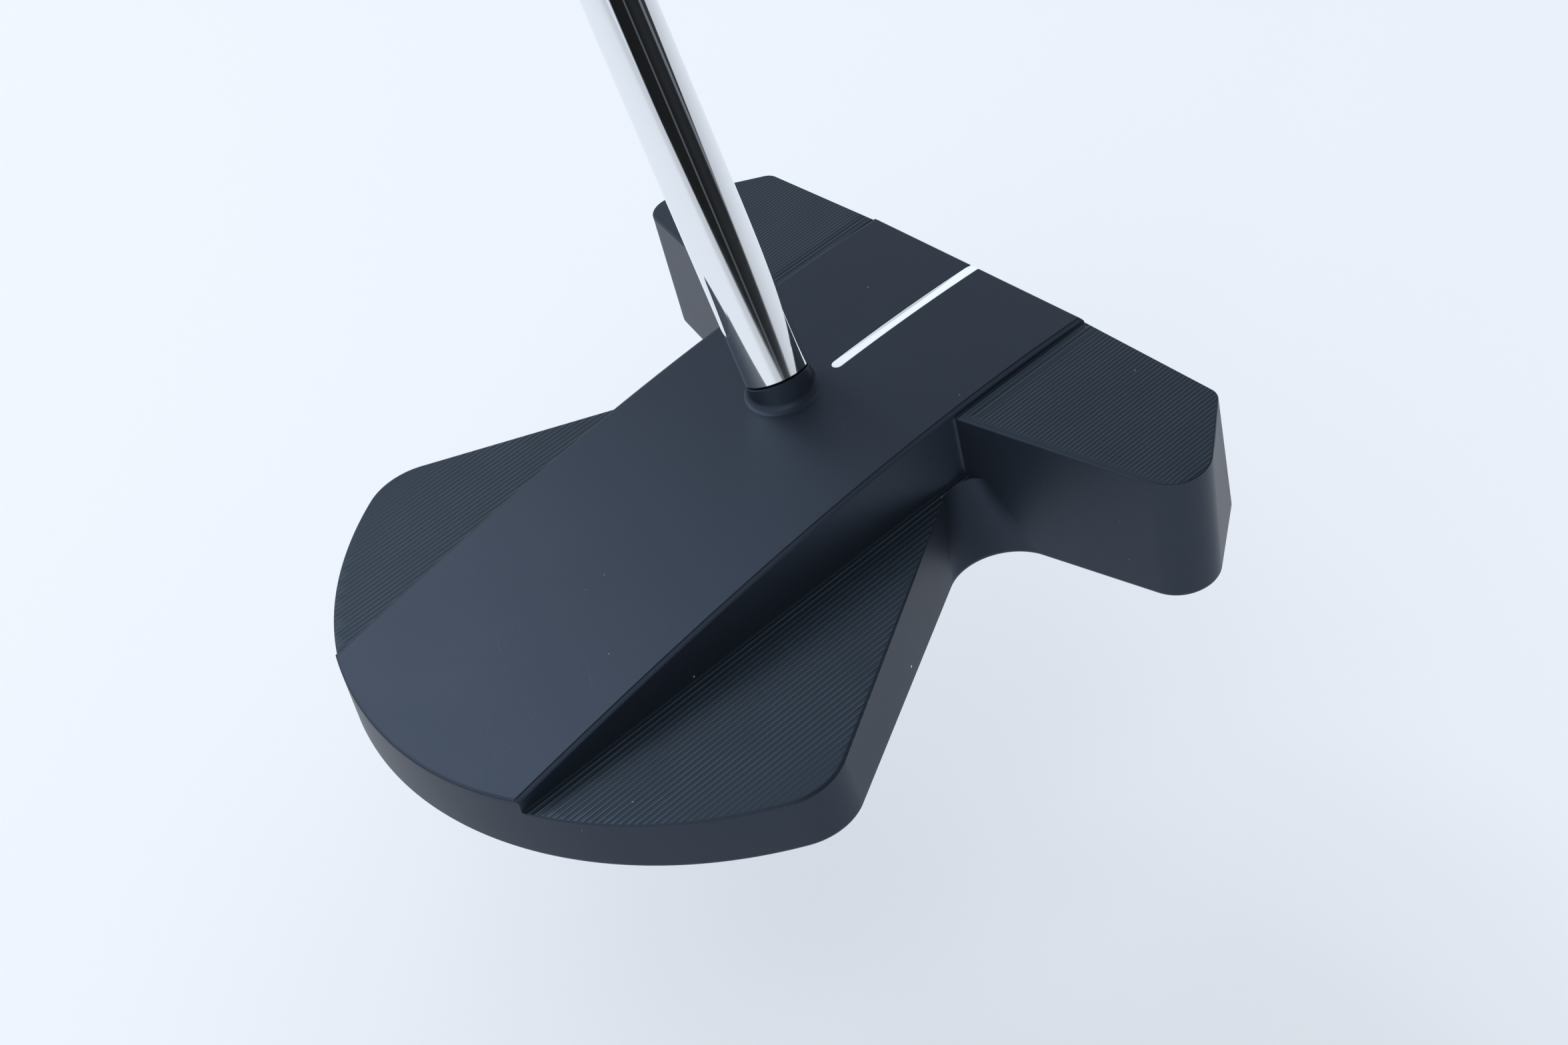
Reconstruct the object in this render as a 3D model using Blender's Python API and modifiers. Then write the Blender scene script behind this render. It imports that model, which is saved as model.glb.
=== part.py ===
"""A mallet putter: milled head with wings and flanges, face insert, sole weights, shaft and grip."""

import math

import bmesh
import bpy
import numpy as np
from mathutils import Matrix, Vector

MM = 0.001
OBJECT_NAME = "mallet_putter"

# Head, millimetres: the face's top edge is y = 0, the tail is -y, the toe is +x, the sole is z = 0.
DECK_HALF = 22.05
DECK_TOP = 22.29
DECK_RISE = 0.0114
DECK_FALL = 0.001726
DECK_EASE = 3.83e-6
TAIL_CENTRE_Y = -49.93
TAIL_RADIUS = 56.62
TAIL_CORNER_RADIUS = 9.0
LOFT_DEG = 3.9
WING_FRONT_X = 47.06
WING_TIP = (60.64, -16.34)
WING_ROOT = (24.96, -24.07)
WING_TOP = 21.85
WING_FALL_BACK = 0.0383
WING_FALL_OUT = 0.043
WING_FRONT_RADIUS = 2.4
TOE_TIP_RADIUS = 5.6
HEEL_TIP_RADIUS = 3.8
WING_TUCK = 1.5
FLANGE_SIDE = (26.25, -34.84)
FLANGE_SIDE_SLOPE = -1.6331
FLANGE_TOP = 12.93
FLANGE_FALL_OUT = 0.0192
FLANGE_FALL_BACK = 0.0481
FLANGE_FLARE = 1.5
WAIST_RADIUS_LOW = 8.2
WAIST_RADIUS_TOP = 3.6
WAIST_HEIGHT = 11.5
WING_CORNER_RADIUS = 0.8
SOLE_CHAMFER = 0.7
BLANK_HEIGHT = 30.0
STEP_GROOVE_WIDTH = 1.0
STEP_GROOVE_DEPTH = 0.5
LINE_HALF = 0.92
LINE_LENGTH = 27.4
LINE_DEPTH = 0.4
PAINT_RECESS = 0.06
PAINT_FIT = 0.03
DECK_STATIONS = 34

# Face insert, in the plane of the lofted face.
INSERT_SIZE = (60.0, 14.0)
INSERT_THICKNESS = 3.2
INSERT_CORNER = 4.0
INSERT_HEIGHT = 10.9
BOND_THICKNESS = 0.3
POCKET_FIT = 0.1
BOND_MARGIN = 0.6

# Shaft and the neck that it stands on.
AXIS_FOOT = (-3.56, -34.24, 22.82)
AXIS_SLOPE = (-0.3421, 0.0226, 1.0)
SHAFT_TIP_RADIUS = 4.72
SHAFT_LOW_RADIUS = 4.8
SHAFT_BUTT_RADIUS = 7.6
SHAFT_WALL = 0.45
LOW_LENGTH = 220.0
STEP_COUNT = 11
STEP_LENGTH = 34.0
STEP_TAPER = 1.0
PUTTER_LENGTH = 864.0
NECK_FILLET = 1.0
NECK_ROOT = 3.0
NECK_START_DROP = 0.01
RIM_GAP = 0.25
POST_RADIUS = 3.9
POST_LENGTH = 32.0
EPOXY_THICKNESS = 0.2
EPOXY_FIT = 0.02
EPOXY_SHORT = 1.0
PLUG_LENGTH = 12.0
PLUG_GAP = 0.3
PLUG_FIT = 0.1

# Grip
GRIP_LENGTH = 262.0
GRIP_TOP_HALF = (13.6, 15.6)
GRIP_LOW_HALF = (11.2, 12.4)
GRIP_FLAT = 0.82
GRIP_SKIN = 1.3
TAPE_THICKNESS = 0.2
TAPE_INSET = (4.0, 0.5)
SLEEVE_FIT = 0.05
CORE_INSET = 2.0
SLEEVE_ROWS = 12
CAP_HEIGHT = 4.0
CAP_SPIGOT = 10.0
CAP_STEPS = ((0.0, 0.2), (2.5, 0.2), (3.5, 0.8), (4.0, 2.2))
SPIGOT_FIT = 0.1
SPIGOT_ROOT = 1.0
VENT_RADIUS = 1.0

# Sole weights: centre, cap radius, shank radius and shank length. Tuning screws: centres.
FRONT_WEIGHT = (41.0, -9.5, 7.0, 5.0, 9.0)
REAR_WEIGHT = (30.5, -77.0, 6.0, 4.3, 4.0)
CAP_THICKNESS = 2.2
WASHER_THICKNESS = 0.5
WASHER_MARGIN = 0.3
CAP_BEVEL = 0.4
SHANK_BEVEL = 0.5
BORE_END = 0.6
SOLE_RECESS = 0.3
BORE_CLEARANCE = 0.15
FLAT_CLEARANCE = 0.05
WEIGHT_SOCKET = 4.0
TUNING_SOCKET = 2.4
SOCKET_DEPTH = 1.5
TUNING_PLACES = ((-12.0, -88.0), (-4.0, -92.0), (4.0, -92.0), (12.0, -88.0))
TUNING_RADIUS = 2.5
TUNING_LENGTH = 5.0

ROUND_STEPS = 48
ARC_STEPS = 8
CUT_OVER = 5.0
MERGE_DISTANCE = 1e-7
SHARP_ANGLE_DEG = 35.0

AXIS = Vector(AXIS_SLOPE).normalized()
RIM = Vector(AXIS_FOOT)
AXIS_TURN = AXIS.to_track_quat("Z", "Y").to_matrix()


def clear_scene():
    for old in list(bpy.data.objects):
        bpy.data.objects.remove(old)


def new_collection(name, hidden=False):
    made = bpy.data.collections.new(name)
    bpy.context.scene.collection.children.link(made)
    made.hide_render = hidden
    return made


def principled(name, colour, roughness, metallic):
    material = bpy.data.materials.new(name)
    material.use_nodes = True
    shader = material.node_tree.nodes["Principled BSDF"]
    shader.inputs["Base Color"].default_value = (*colour, 1.0)
    shader.inputs["Roughness"].default_value = roughness
    shader.inputs["Metallic"].default_value = metallic
    return material


def deck_z(y):
    """Height of the deck's curved top: level at the face, falling to the tail."""
    back = -y
    return DECK_TOP + DECK_RISE * back - DECK_FALL * back**2 + DECK_EASE * back**3


def mesh_object(name, points, faces, collection):
    """One object from points in millimetres."""
    mesh = bpy.data.meshes.new(name)
    mesh.from_pydata([Vector(point) * MM for point in points], [], faces)
    made = bpy.data.objects.new(name, mesh)
    collection.objects.link(made)
    work = bmesh.new()
    work.from_mesh(mesh)
    bmesh.ops.recalc_face_normals(work, faces=work.faces)
    work.to_mesh(mesh)
    work.free()
    return made


def loft(name, rings, collection, ring_closed=False):
    """Skin over rings of equal length, with end caps, or joined end to start for a tube with a wall."""
    count = len(rings[0])
    points = [point for ring in rings for point in ring]
    last = len(rings) if ring_closed else len(rings) - 1
    faces = []
    for row in range(last):
        low, high = row * count, (row + 1) % len(rings) * count
        for k in range(count):
            after = (k + 1) % count
            faces.append((low + k, low + after, high + after, high + k))
    if not ring_closed:
        faces.append(tuple(reversed(range(count))))
        faces.append(tuple(range((len(rings) - 1) * count, len(rings) * count)))
    return mesh_object(name, points, faces, collection)


def flat_prism(name, outline, low, high, collection):
    """A filled 2D curve given thickness, made a mesh."""
    curve = bpy.data.curves.new(name, "CURVE")
    curve.dimensions = "2D"
    curve.fill_mode = "BOTH"
    curve.extrude = (high - low) / 2 * MM
    spline = curve.splines.new("POLY")
    spline.points.add(len(outline) - 1)
    for point, (x, y) in zip(spline.points, outline):
        point.co = (x * MM, y * MM, 0.0, 1.0)
    spline.use_cyclic_u = True
    draft = bpy.data.objects.new(name, curve)
    collection.objects.link(draft)
    bpy.context.view_layer.update()
    graph = bpy.context.evaluated_depsgraph_get()
    mesh = bpy.data.meshes.new_from_object(draft.evaluated_get(graph))
    bpy.data.objects.remove(draft)
    work = bmesh.new()
    work.from_mesh(mesh)
    bmesh.ops.remove_doubles(work, verts=work.verts, dist=MERGE_DISTANCE)
    bmesh.ops.translate(work, verts=work.verts, vec=(0, 0, (low + high) / 2 * MM))
    bmesh.ops.recalc_face_normals(work, faces=work.faces)
    work.to_mesh(mesh)
    work.free()
    made = bpy.data.objects.new(name, mesh)
    collection.objects.link(made)
    return made


def turned(name, profile, collection, steps=ROUND_STEPS):
    """A profile of (radius, height) pairs turned about Z by a Screw modifier, then kept as a mesh."""
    mesh = bpy.data.meshes.new(name)
    edges = [(k, (k + 1) % len(profile)) for k in range(len(profile))]
    if min(radius for radius, _ in profile) == 0:
        edges = edges[:-1]
    mesh.from_pydata([(radius * MM, 0, height * MM) for radius, height in profile], edges, [])
    draft = bpy.data.objects.new(name, mesh)
    collection.objects.link(draft)
    screw = draft.modifiers.new("turn", "SCREW")
    screw.steps = screw.render_steps = steps
    screw.use_merge_vertices = True
    screw.merge_threshold = MERGE_DISTANCE
    bpy.context.view_layer.update()
    graph = bpy.context.evaluated_depsgraph_get()
    solid = bpy.data.meshes.new_from_object(draft.evaluated_get(graph))
    bpy.data.objects.remove(draft)
    work = bmesh.new()
    work.from_mesh(solid)
    bmesh.ops.remove_doubles(work, verts=work.verts, dist=MERGE_DISTANCE)
    bmesh.ops.recalc_face_normals(work, faces=work.faces)
    work.to_mesh(solid)
    work.free()
    made = bpy.data.objects.new(name, solid)
    collection.objects.link(made)
    return made


def put(thing, place=(0, 0, 0), turn=None):
    """Moves the mesh itself, so that the object's own place stays free for its joint."""
    matrix = Matrix.Translation(Vector(place) * MM)
    if turn is not None:
        matrix = matrix @ turn.to_4x4()
    thing.data.transform(matrix)
    return thing


def boolean(target, tool, operation):
    step = target.modifiers.new(tool.name, "BOOLEAN")
    step.operation = operation
    step.object = tool


def finish(thing, material):
    """Applies the modifiers, shades it and gives it its material."""
    graph = bpy.context.evaluated_depsgraph_get()
    mesh = bpy.data.meshes.new_from_object(thing.evaluated_get(graph))
    thing.modifiers.clear()
    thing.data = mesh
    mesh.name = thing.name
    mesh.materials.clear()
    mesh.materials.append(material)
    mesh.shade_smooth()
    mesh.set_sharp_from_angle(angle=math.radians(SHARP_ANGLE_DEG))
    return thing


def origin_to(thing, place):
    """Sets the object's origin on its joint axis, leaving the mesh where it is."""
    shift = Vector(place) * MM
    thing.data.transform(Matrix.Translation(-shift))
    thing.location = shift
    return thing


def arc(centre, radius, start, stop, steps=ARC_STEPS):
    angles = np.linspace(start, stop, steps + 1)
    return [(centre[0] + radius * math.cos(a), centre[1] + radius * math.sin(a)) for a in angles]


def rounded(before, corner, after, radius):
    """The arc that rounds a corner between two straight edges, either way round."""
    corner = Vector(corner)
    back = (Vector(before) - corner).normalized()
    on = (Vector(after) - corner).normalized()
    half_angle = back.angle(on) / 2
    centre = corner + (back + on).normalized() * radius / math.sin(half_angle)
    first = corner + back * radius / math.tan(half_angle) - centre
    last = corner + on * radius / math.tan(half_angle) - centre
    start = math.atan2(first.y, first.x)
    sweep = math.remainder(math.atan2(last.y, last.x) - start, 2 * math.pi)
    return arc(centre, radius, start, start + sweep)


def wing_wall_y(x):
    slope = (WING_TIP[1] - WING_ROOT[1]) / (WING_TIP[0] - WING_ROOT[0])
    return WING_ROOT[1] + slope * (x - WING_ROOT[0])


def waist_corner(flare=0.0):
    """Where the wing's back wall and the flange's side wall would meet with no fillet."""
    slope = (WING_TIP[1] - WING_ROOT[1]) / (WING_TIP[0] - WING_ROOT[0])
    rise = FLANGE_SIDE[1] - FLANGE_SIDE_SLOPE * (FLANGE_SIDE[0] + flare)
    x = (rise - WING_ROOT[1] + slope * WING_ROOT[0]) / (slope - FLANGE_SIDE_SLOPE)
    return (x, wing_wall_y(x))


def waist_radius(height):
    """The waist's fillet is a cone: wide at the sole, tight where the flange's top meets the wing."""
    share = min(height / WAIST_HEIGHT, 1.0)
    return WAIST_RADIUS_LOW + (WAIST_RADIUS_TOP - WAIST_RADIUS_LOW) * share


def head_half(height, tip_radius):
    """The head's plan on the +x side at one height: the face leans, the walls flare or tuck a little."""
    front = face_y(height)
    tuck = WING_TUCK * (1 - height / DECK_TOP)
    face_corner = (WING_FRONT_X - tuck, front)
    tip = (WING_TIP[0] - tuck, WING_TIP[1])
    waist = waist_corner(FLANGE_FLARE * max(0.0, 1 - height / FLANGE_TOP))
    side = Vector((1, FLANGE_SIDE_SLOPE)).normalized()
    outward = Vector((-side.y, side.x))
    tail = Vector((0, TAIL_CENTRE_Y))
    from_tail = Vector(waist) - outward * TAIL_CORNER_RADIUS - tail
    along = -from_tail.dot(side)
    reach = TAIL_RADIUS - TAIL_CORNER_RADIUS
    along += math.sqrt(from_tail.dot(side) ** 2 - from_tail.length_squared + reach**2)
    centre = tail + from_tail + side * along
    to_arc = (centre - tail).normalized()
    start = math.atan2(outward.y, outward.x)
    stop = math.atan2(to_arc.y, to_arc.x)
    half = [(0.0, front)]
    half += rounded((0, front), face_corner, tip, WING_FRONT_RADIUS)
    half += rounded(face_corner, tip, waist, tip_radius)
    half += rounded(tip, waist, tuple(centre + outward * TAIL_CORNER_RADIUS), waist_radius(height))
    half += arc(centre, TAIL_CORNER_RADIUS, start, stop)
    half += arc(tail, TAIL_RADIUS, stop, -math.pi / 2, 2 * ARC_STEPS)[1:-1]
    half.append((0.0, TAIL_CENTRE_Y - TAIL_RADIUS))
    return half


def whole_ring(inset, height):
    """The head's full outline at one height, drawn in by the inset along each point's own normal."""
    toe_half = head_half(height, TOE_TIP_RADIUS)
    heel_half = head_half(height, HEEL_TIP_RADIUS)
    ring = np.array(toe_half + [(-x, y) for x, y in reversed(heel_half[1:-1])])
    along = np.roll(ring, -1, axis=0) - np.roll(ring, 1, axis=0)
    along /= np.linalg.norm(along, axis=1)[:, None]
    outward = np.stack([along[:, 1], -along[:, 0]], axis=1)
    middle = np.array([0.0, TAIL_CENTRE_Y])
    outward *= 1 if ((ring - middle) * outward).sum() > 0 else -1
    ring = ring - outward * inset
    return [(x, y, height) for x, y in ring]


def face_y(height):
    return (DECK_TOP - height) * math.tan(math.radians(LOFT_DEG))


def head_blank(parts):
    sections = (
        (0.0, SOLE_CHAMFER),
        (SOLE_CHAMFER, 0.0),
        (WAIST_HEIGHT, 0.0),
        (DECK_TOP, 0.0),
        (BLANK_HEIGHT, 0.0),
    )
    return loft("head_body", [whole_ring(inset, height) for height, inset in sections], parts)


def deck_slab(name, low, high, half_width, cutters):
    """A slab across the head whose top and bottom follow the deck."""
    ys = np.linspace(CUT_OVER, TAIL_CENTRE_Y - TAIL_RADIUS - CUT_OVER, DECK_STATIONS)
    ring = [(y, deck_z(y) + low) for y in ys] + [(y, deck_z(y) + high) for y in reversed(ys)]
    ends = (-half_width, half_width)
    return loft(name, [[(x, y, z) for y, z in ring] for x in ends], cutters)


def sloped_cutter(name, outline, surface, cutters):
    """A prism whose floor is a sloped plane: what stands above the plane, inside the outline, goes."""
    floor = [(x, y, surface(x, y)) for x, y in outline]
    roof = [(x, y, BLANK_HEIGHT + CUT_OVER) for x, y in outline]
    return loft(name, [floor, roof], cutters)


def wing_surface(x, y):
    return WING_TOP + WING_FALL_BACK * y - WING_FALL_OUT * (abs(x) - DECK_HALF)


def flange_surface(x, y):
    return FLANGE_TOP - FLANGE_FALL_OUT * abs(x) + FLANGE_FALL_BACK * y


def side_cutters(side, cutters):
    """The cuts beside the deck on one side: wing top, the step's groove and the flange top."""
    tag = "toe" if side > 0 else "heel"
    reach = WING_TIP[0] + CUT_OVER
    back = wing_wall_y(DECK_HALF)
    wing = [(DECK_HALF, CUT_OVER), (reach, CUT_OVER), (reach, back), (DECK_HALF, back)]
    groove_out = DECK_HALF + STEP_GROOVE_WIDTH
    groove = [(DECK_HALF, CUT_OVER), (groove_out, CUT_OVER), (groove_out, back), (DECK_HALF, back)]
    waist = Vector(waist_corner())
    leave = waist.x + WAIST_RADIUS_TOP / math.tan(wall_angle() / 2) * math.cos(wing_wall_angle())
    far = TAIL_CENTRE_Y - TAIL_RADIUS - CUT_OVER
    flange = rounded((DECK_HALF, far), (DECK_HALF, back), (leave, wing_wall_y(leave)), WING_CORNER_RADIUS)
    flange += [(leave, wing_wall_y(leave)), (reach, wing_wall_y(reach) - CUT_OVER)]
    flange += [(reach, far), (DECK_HALF, far)]

    def groove_floor(x, y):
        return wing_surface(x, y) - STEP_GROOVE_DEPTH

    made = []
    for name, outline, surface in (
        ("wing_top_cut", wing, wing_surface),
        ("step_groove_cut", groove, groove_floor),
        ("flange_top_cut", flange, flange_surface),
    ):
        placed = [(side * x, y) for x, y in outline]
        made.append(sloped_cutter(f"{tag}_{name}", placed, surface, cutters))
    return made


def wing_wall_angle():
    return math.atan2(WING_TIP[1] - WING_ROOT[1], WING_TIP[0] - WING_ROOT[0])


def wall_angle():
    """The angle at the waist between the wing's back wall and the flange's side wall."""
    return wing_wall_angle() - math.atan(FLANGE_SIDE_SLOPE)


def line_outline(inset):
    """The alignment line's plan: straight sides and a round rear end."""
    radius = LINE_HALF - inset
    end = (0.0, -LINE_LENGTH + LINE_HALF)
    return arc(end, radius, -math.pi, 0) + [(radius, CUT_OVER), (-radius, CUT_OVER)]


def line_solid(name, inset, low, high, collection, cutters):
    """The deck's slab within the line's plan."""
    solid = flat_prism(name, line_outline(inset), DECK_TOP / 2, BLANK_HEIGHT, collection)
    slab = deck_slab(f"{name}_slab", low, high, DECK_HALF, cutters)
    boolean(solid, slab, "INTERSECT")
    return solid


def face_frame(depth):
    """Place and turn of a plane parallel to the face, this far behind it, at the insert's height."""
    loft_angle = math.radians(LOFT_DEG)
    normal = Vector((0, math.cos(loft_angle), math.sin(loft_angle)))
    across = Vector((-1, 0, 0))
    up = normal.cross(across)
    turn = Matrix((across, up, normal)).transposed()
    place = Vector((0, face_y(INSERT_HEIGHT), INSERT_HEIGHT)) - normal * depth
    return place, turn


def face_plate(name, grow, back, thickness, collection):
    """A plate with round corners lying in the face, from a depth forward."""
    half_x, half_y = INSERT_SIZE[0] / 2 + grow, INSERT_SIZE[1] / 2 + grow
    corners = [(half_x, half_y), (-half_x, half_y), (-half_x, -half_y), (half_x, -half_y)]
    outline = []
    for k, corner in enumerate(corners):
        outline += rounded(corners[k - 1], corner, corners[(k + 1) % 4], INSERT_CORNER + grow)
    plate = flat_prism(name, outline, 0.0, thickness, collection)
    place, turn = face_frame(back)
    return put(plate, place, turn)


def neck(cutters):
    """Rings up the shaft's axis: a fillet out of the deck, the neck, then the post inside the shaft."""
    across, over = AXIS_TURN.col[0], AXIS_TURN.col[1]
    slope = deck_z(RIM.y) - deck_z(RIM.y - 1.0)
    base = deck_z(RIM.y)

    def plane_z(y):
        return base + slope * (y - RIM.y)

    angles = [2 * math.pi * k / ROUND_STEPS for k in range(ROUND_STEPS)]
    generators = [RIM + (across * math.cos(a) + over * math.sin(a)) * SHAFT_TIP_RADIUS for a in angles]

    def fillet_ring(out, height):
        ring = []
        for point in generators:
            fall = (plane_z(point.y) + height - point.z) / (AXIS.z - slope * AXIS.y)
            foot = point + AXIS * fall
            level = Vector((point.x - RIM.x, point.y - RIM.y, 0)).normalized()
            spot = foot + level * out
            ring.append((spot.x, spot.y, plane_z(spot.y) + height))
        return ring

    rings = [fillet_ring(NECK_FILLET, -NECK_ROOT)]
    for k in range(ARC_STEPS + 1):
        theta = math.pi / 2 * (1 - k / ARC_STEPS)
        out = NECK_FILLET * (1 - math.cos(theta))
        height = NECK_FILLET * (1 - math.sin(theta))
        rings.append(fillet_ring(out, height - NECK_START_DROP if k == 0 else height))
    for radius, along in ((SHAFT_TIP_RADIUS, 0.0), (POST_RADIUS, 0.0), (POST_RADIUS, POST_LENGTH)):
        ring = [RIM + (across * math.cos(a) + over * math.sin(a)) * radius + AXIS * along for a in angles]
        rings.append([tuple(point) for point in ring])
    return loft("neck", rings, cutters)


def weight_profile(cap_radius, shank_radius, shank_length):
    """The weight's outer shape, upright, with its cap's face at height 0."""
    top = CAP_THICKNESS + WASHER_THICKNESS + 2 * FLAT_CLEARANCE + shank_length
    return [
        (0.0, 0.0),
        (cap_radius - CAP_BEVEL, 0.0),
        (cap_radius, CAP_BEVEL),
        (cap_radius, CAP_THICKNESS),
        (shank_radius, CAP_THICKNESS),
        (shank_radius, top - SHANK_BEVEL),
        (shank_radius - SHANK_BEVEL, top),
        (0.0, top),
    ]


def bore_profile(cap_radius, shank_radius, shank_length):
    """The hole for a weight: a counterbore with a shoulder for the washer, then the tapped bore."""
    shoulder = SOLE_RECESS + CAP_THICKNESS + WASHER_THICKNESS + 2 * FLAT_CLEARANCE
    return [
        (0.0, -CUT_OVER),
        (cap_radius + BORE_CLEARANCE, -CUT_OVER),
        (cap_radius + BORE_CLEARANCE, shoulder),
        (shank_radius + BORE_CLEARANCE, shoulder),
        (shank_radius + BORE_CLEARANCE, shoulder + shank_length + BORE_END),
        (0.0, shoulder + shank_length + BORE_END),
    ]


def socket_cutter(name, across_flats, depth, cutters):
    """A hexagon for the key, cut up into a face at height 0."""
    radius = across_flats / math.sqrt(3)
    outline = [(radius * math.cos(k * math.pi / 3), radius * math.sin(k * math.pi / 3)) for k in range(6)]
    return flat_prism(name, outline, -CUT_OVER, depth, cutters)


def weight_set(name, spec, side, parts, cutters):
    """One sole weight with its washer, and the bore that the head gets for them."""
    x, y, cap_radius, shank_radius, shank_length = spec
    place = (side * x, y, SOLE_RECESS)
    weight = turned(f"{name}_weight", weight_profile(cap_radius, shank_radius, shank_length), parts)
    put(weight, place)
    socket = put(socket_cutter(f"{name}_socket", WEIGHT_SOCKET, SOCKET_DEPTH, cutters), place)
    boolean(weight, socket, "DIFFERENCE")
    low = SOLE_RECESS + CAP_THICKNESS + FLAT_CLEARANCE
    ring = [
        (shank_radius + BORE_CLEARANCE, low),
        (cap_radius - WASHER_MARGIN, low),
        (cap_radius - WASHER_MARGIN, low + WASHER_THICKNESS),
        (shank_radius + BORE_CLEARANCE, low + WASHER_THICKNESS),
    ]
    washer = put(turned(f"{name}_weight_washer", ring, parts), (side * x, y, 0))
    bore = turned(f"{name}_bore", bore_profile(cap_radius, shank_radius, shank_length), cutters)
    put(bore, (side * x, y, 0))
    return weight, washer, bore


def tuning_screws(parts, cutters):
    """Small headless screws in the sole, each with its hole."""
    screws, bores = [], []
    for k, (x, y) in enumerate(TUNING_PLACES, start=1):
        top = SOLE_RECESS + TUNING_LENGTH
        profile = [(0.0, SOLE_RECESS), (TUNING_RADIUS, SOLE_RECESS), (TUNING_RADIUS, top), (0.0, top)]
        screw = put(turned(f"tuning_screw_{k}", profile, parts, ROUND_STEPS // 2), (x, y, 0))
        hexagon = socket_cutter(f"tuning_socket_{k}", TUNING_SOCKET, SOLE_RECESS + SOCKET_DEPTH, cutters)
        boolean(screw, put(hexagon, (x, y, 0)), "DIFFERENCE")
        hole = [
            (0.0, -CUT_OVER),
            (TUNING_RADIUS + BORE_CLEARANCE, -CUT_OVER),
            (TUNING_RADIUS + BORE_CLEARANCE, top + FLAT_CLEARANCE),
            (0.0, top + FLAT_CLEARANCE),
        ]
        bores.append(put(turned(f"tuning_bore_{k}", hole, cutters, ROUND_STEPS // 2), (x, y, 0)))
        screws.append(screw)
    return screws, bores


def shaft_length():
    below = RIM.z / AXIS.z
    return PUTTER_LENGTH - below - CAP_HEIGHT


def shaft_outline():
    """(radius, height) up the outside of the stepped tube, from the rim."""
    steps = [(SHAFT_TIP_RADIUS, RIM_GAP), (SHAFT_LOW_RADIUS, LOW_LENGTH)]
    rise = (SHAFT_BUTT_RADIUS - SHAFT_LOW_RADIUS) / STEP_COUNT
    for k in range(STEP_COUNT):
        radius = SHAFT_LOW_RADIUS + rise * (k + 1)
        start = LOW_LENGTH + k * STEP_LENGTH
        steps += [(radius, start + STEP_TAPER), (radius, start + STEP_LENGTH)]
    steps.append((SHAFT_BUTT_RADIUS, shaft_length()))
    return steps


def on_axis(thing):
    return put(thing, RIM, AXIS_TURN)


def shaft_parts(parts):
    """The tube, the bond between it and the post, and the foam plug above the post."""
    outer = shaft_outline()
    inner = [(radius - SHAFT_WALL, height) for radius, height in reversed(outer)]
    tube = on_axis(turned("shaft", outer + inner, parts))
    thin = POST_RADIUS + EPOXY_FIT
    bond = [
        (thin, RIM_GAP),
        (thin + EPOXY_THICKNESS, RIM_GAP),
        (thin + EPOXY_THICKNESS, POST_LENGTH - EPOXY_SHORT),
        (thin, POST_LENGTH - EPOXY_SHORT),
    ]
    epoxy = on_axis(turned("shaft_epoxy", bond, parts))
    wide = SHAFT_TIP_RADIUS - SHAFT_WALL - PLUG_FIT
    low = POST_LENGTH + PLUG_GAP
    shape = [(0.0, low), (wide, low), (wide, low + PLUG_LENGTH), (0.0, low + PLUG_LENGTH)]
    plug = on_axis(turned("shaft_rattle_plug", shape, parts))
    return tube, epoxy, plug


def grip_halves(along):
    """Half width (across the target line) and half depth of the grip's section, 0 at its low end."""
    ease = along * along * (3 - 2 * along)
    return [low + (top - low) * ease for low, top in zip(GRIP_LOW_HALF, GRIP_TOP_HALF)]


def grip_ring(along, height, inset):
    """A round section with a flat on the thumb side, which faces the toe."""
    half_across, half_deep = grip_halves(along)
    ring = []
    for k in range(ROUND_STEPS):
        angle = 2 * math.pi * k / ROUND_STEPS
        deep = (half_deep - inset) * math.cos(angle)
        deep = min(deep, GRIP_FLAT * half_deep - inset)
        ring.append((deep, (half_across - inset) * math.sin(angle), height))
    return ring


def round_ring(radius, height):
    angles = [2 * math.pi * k / ROUND_STEPS for k in range(ROUND_STEPS)]
    return [(radius * math.cos(a), radius * math.sin(a), height) for a in angles]


def sleeve(name, low, high, inset, inner_ring, parts):
    """A tube with the grip's outside and a given inside, between two heights up the shaft."""
    length = shaft_length()
    heights = np.linspace(low, high, SLEEVE_ROWS)
    start = length - GRIP_LENGTH
    outside = [grip_ring((h - start) / GRIP_LENGTH, h, inset) for h in heights]
    inside = [inner_ring((h - start) / GRIP_LENGTH, h) for h in reversed(heights)]
    return on_axis(loft(name, outside + inside, parts, ring_closed=True))


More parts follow.
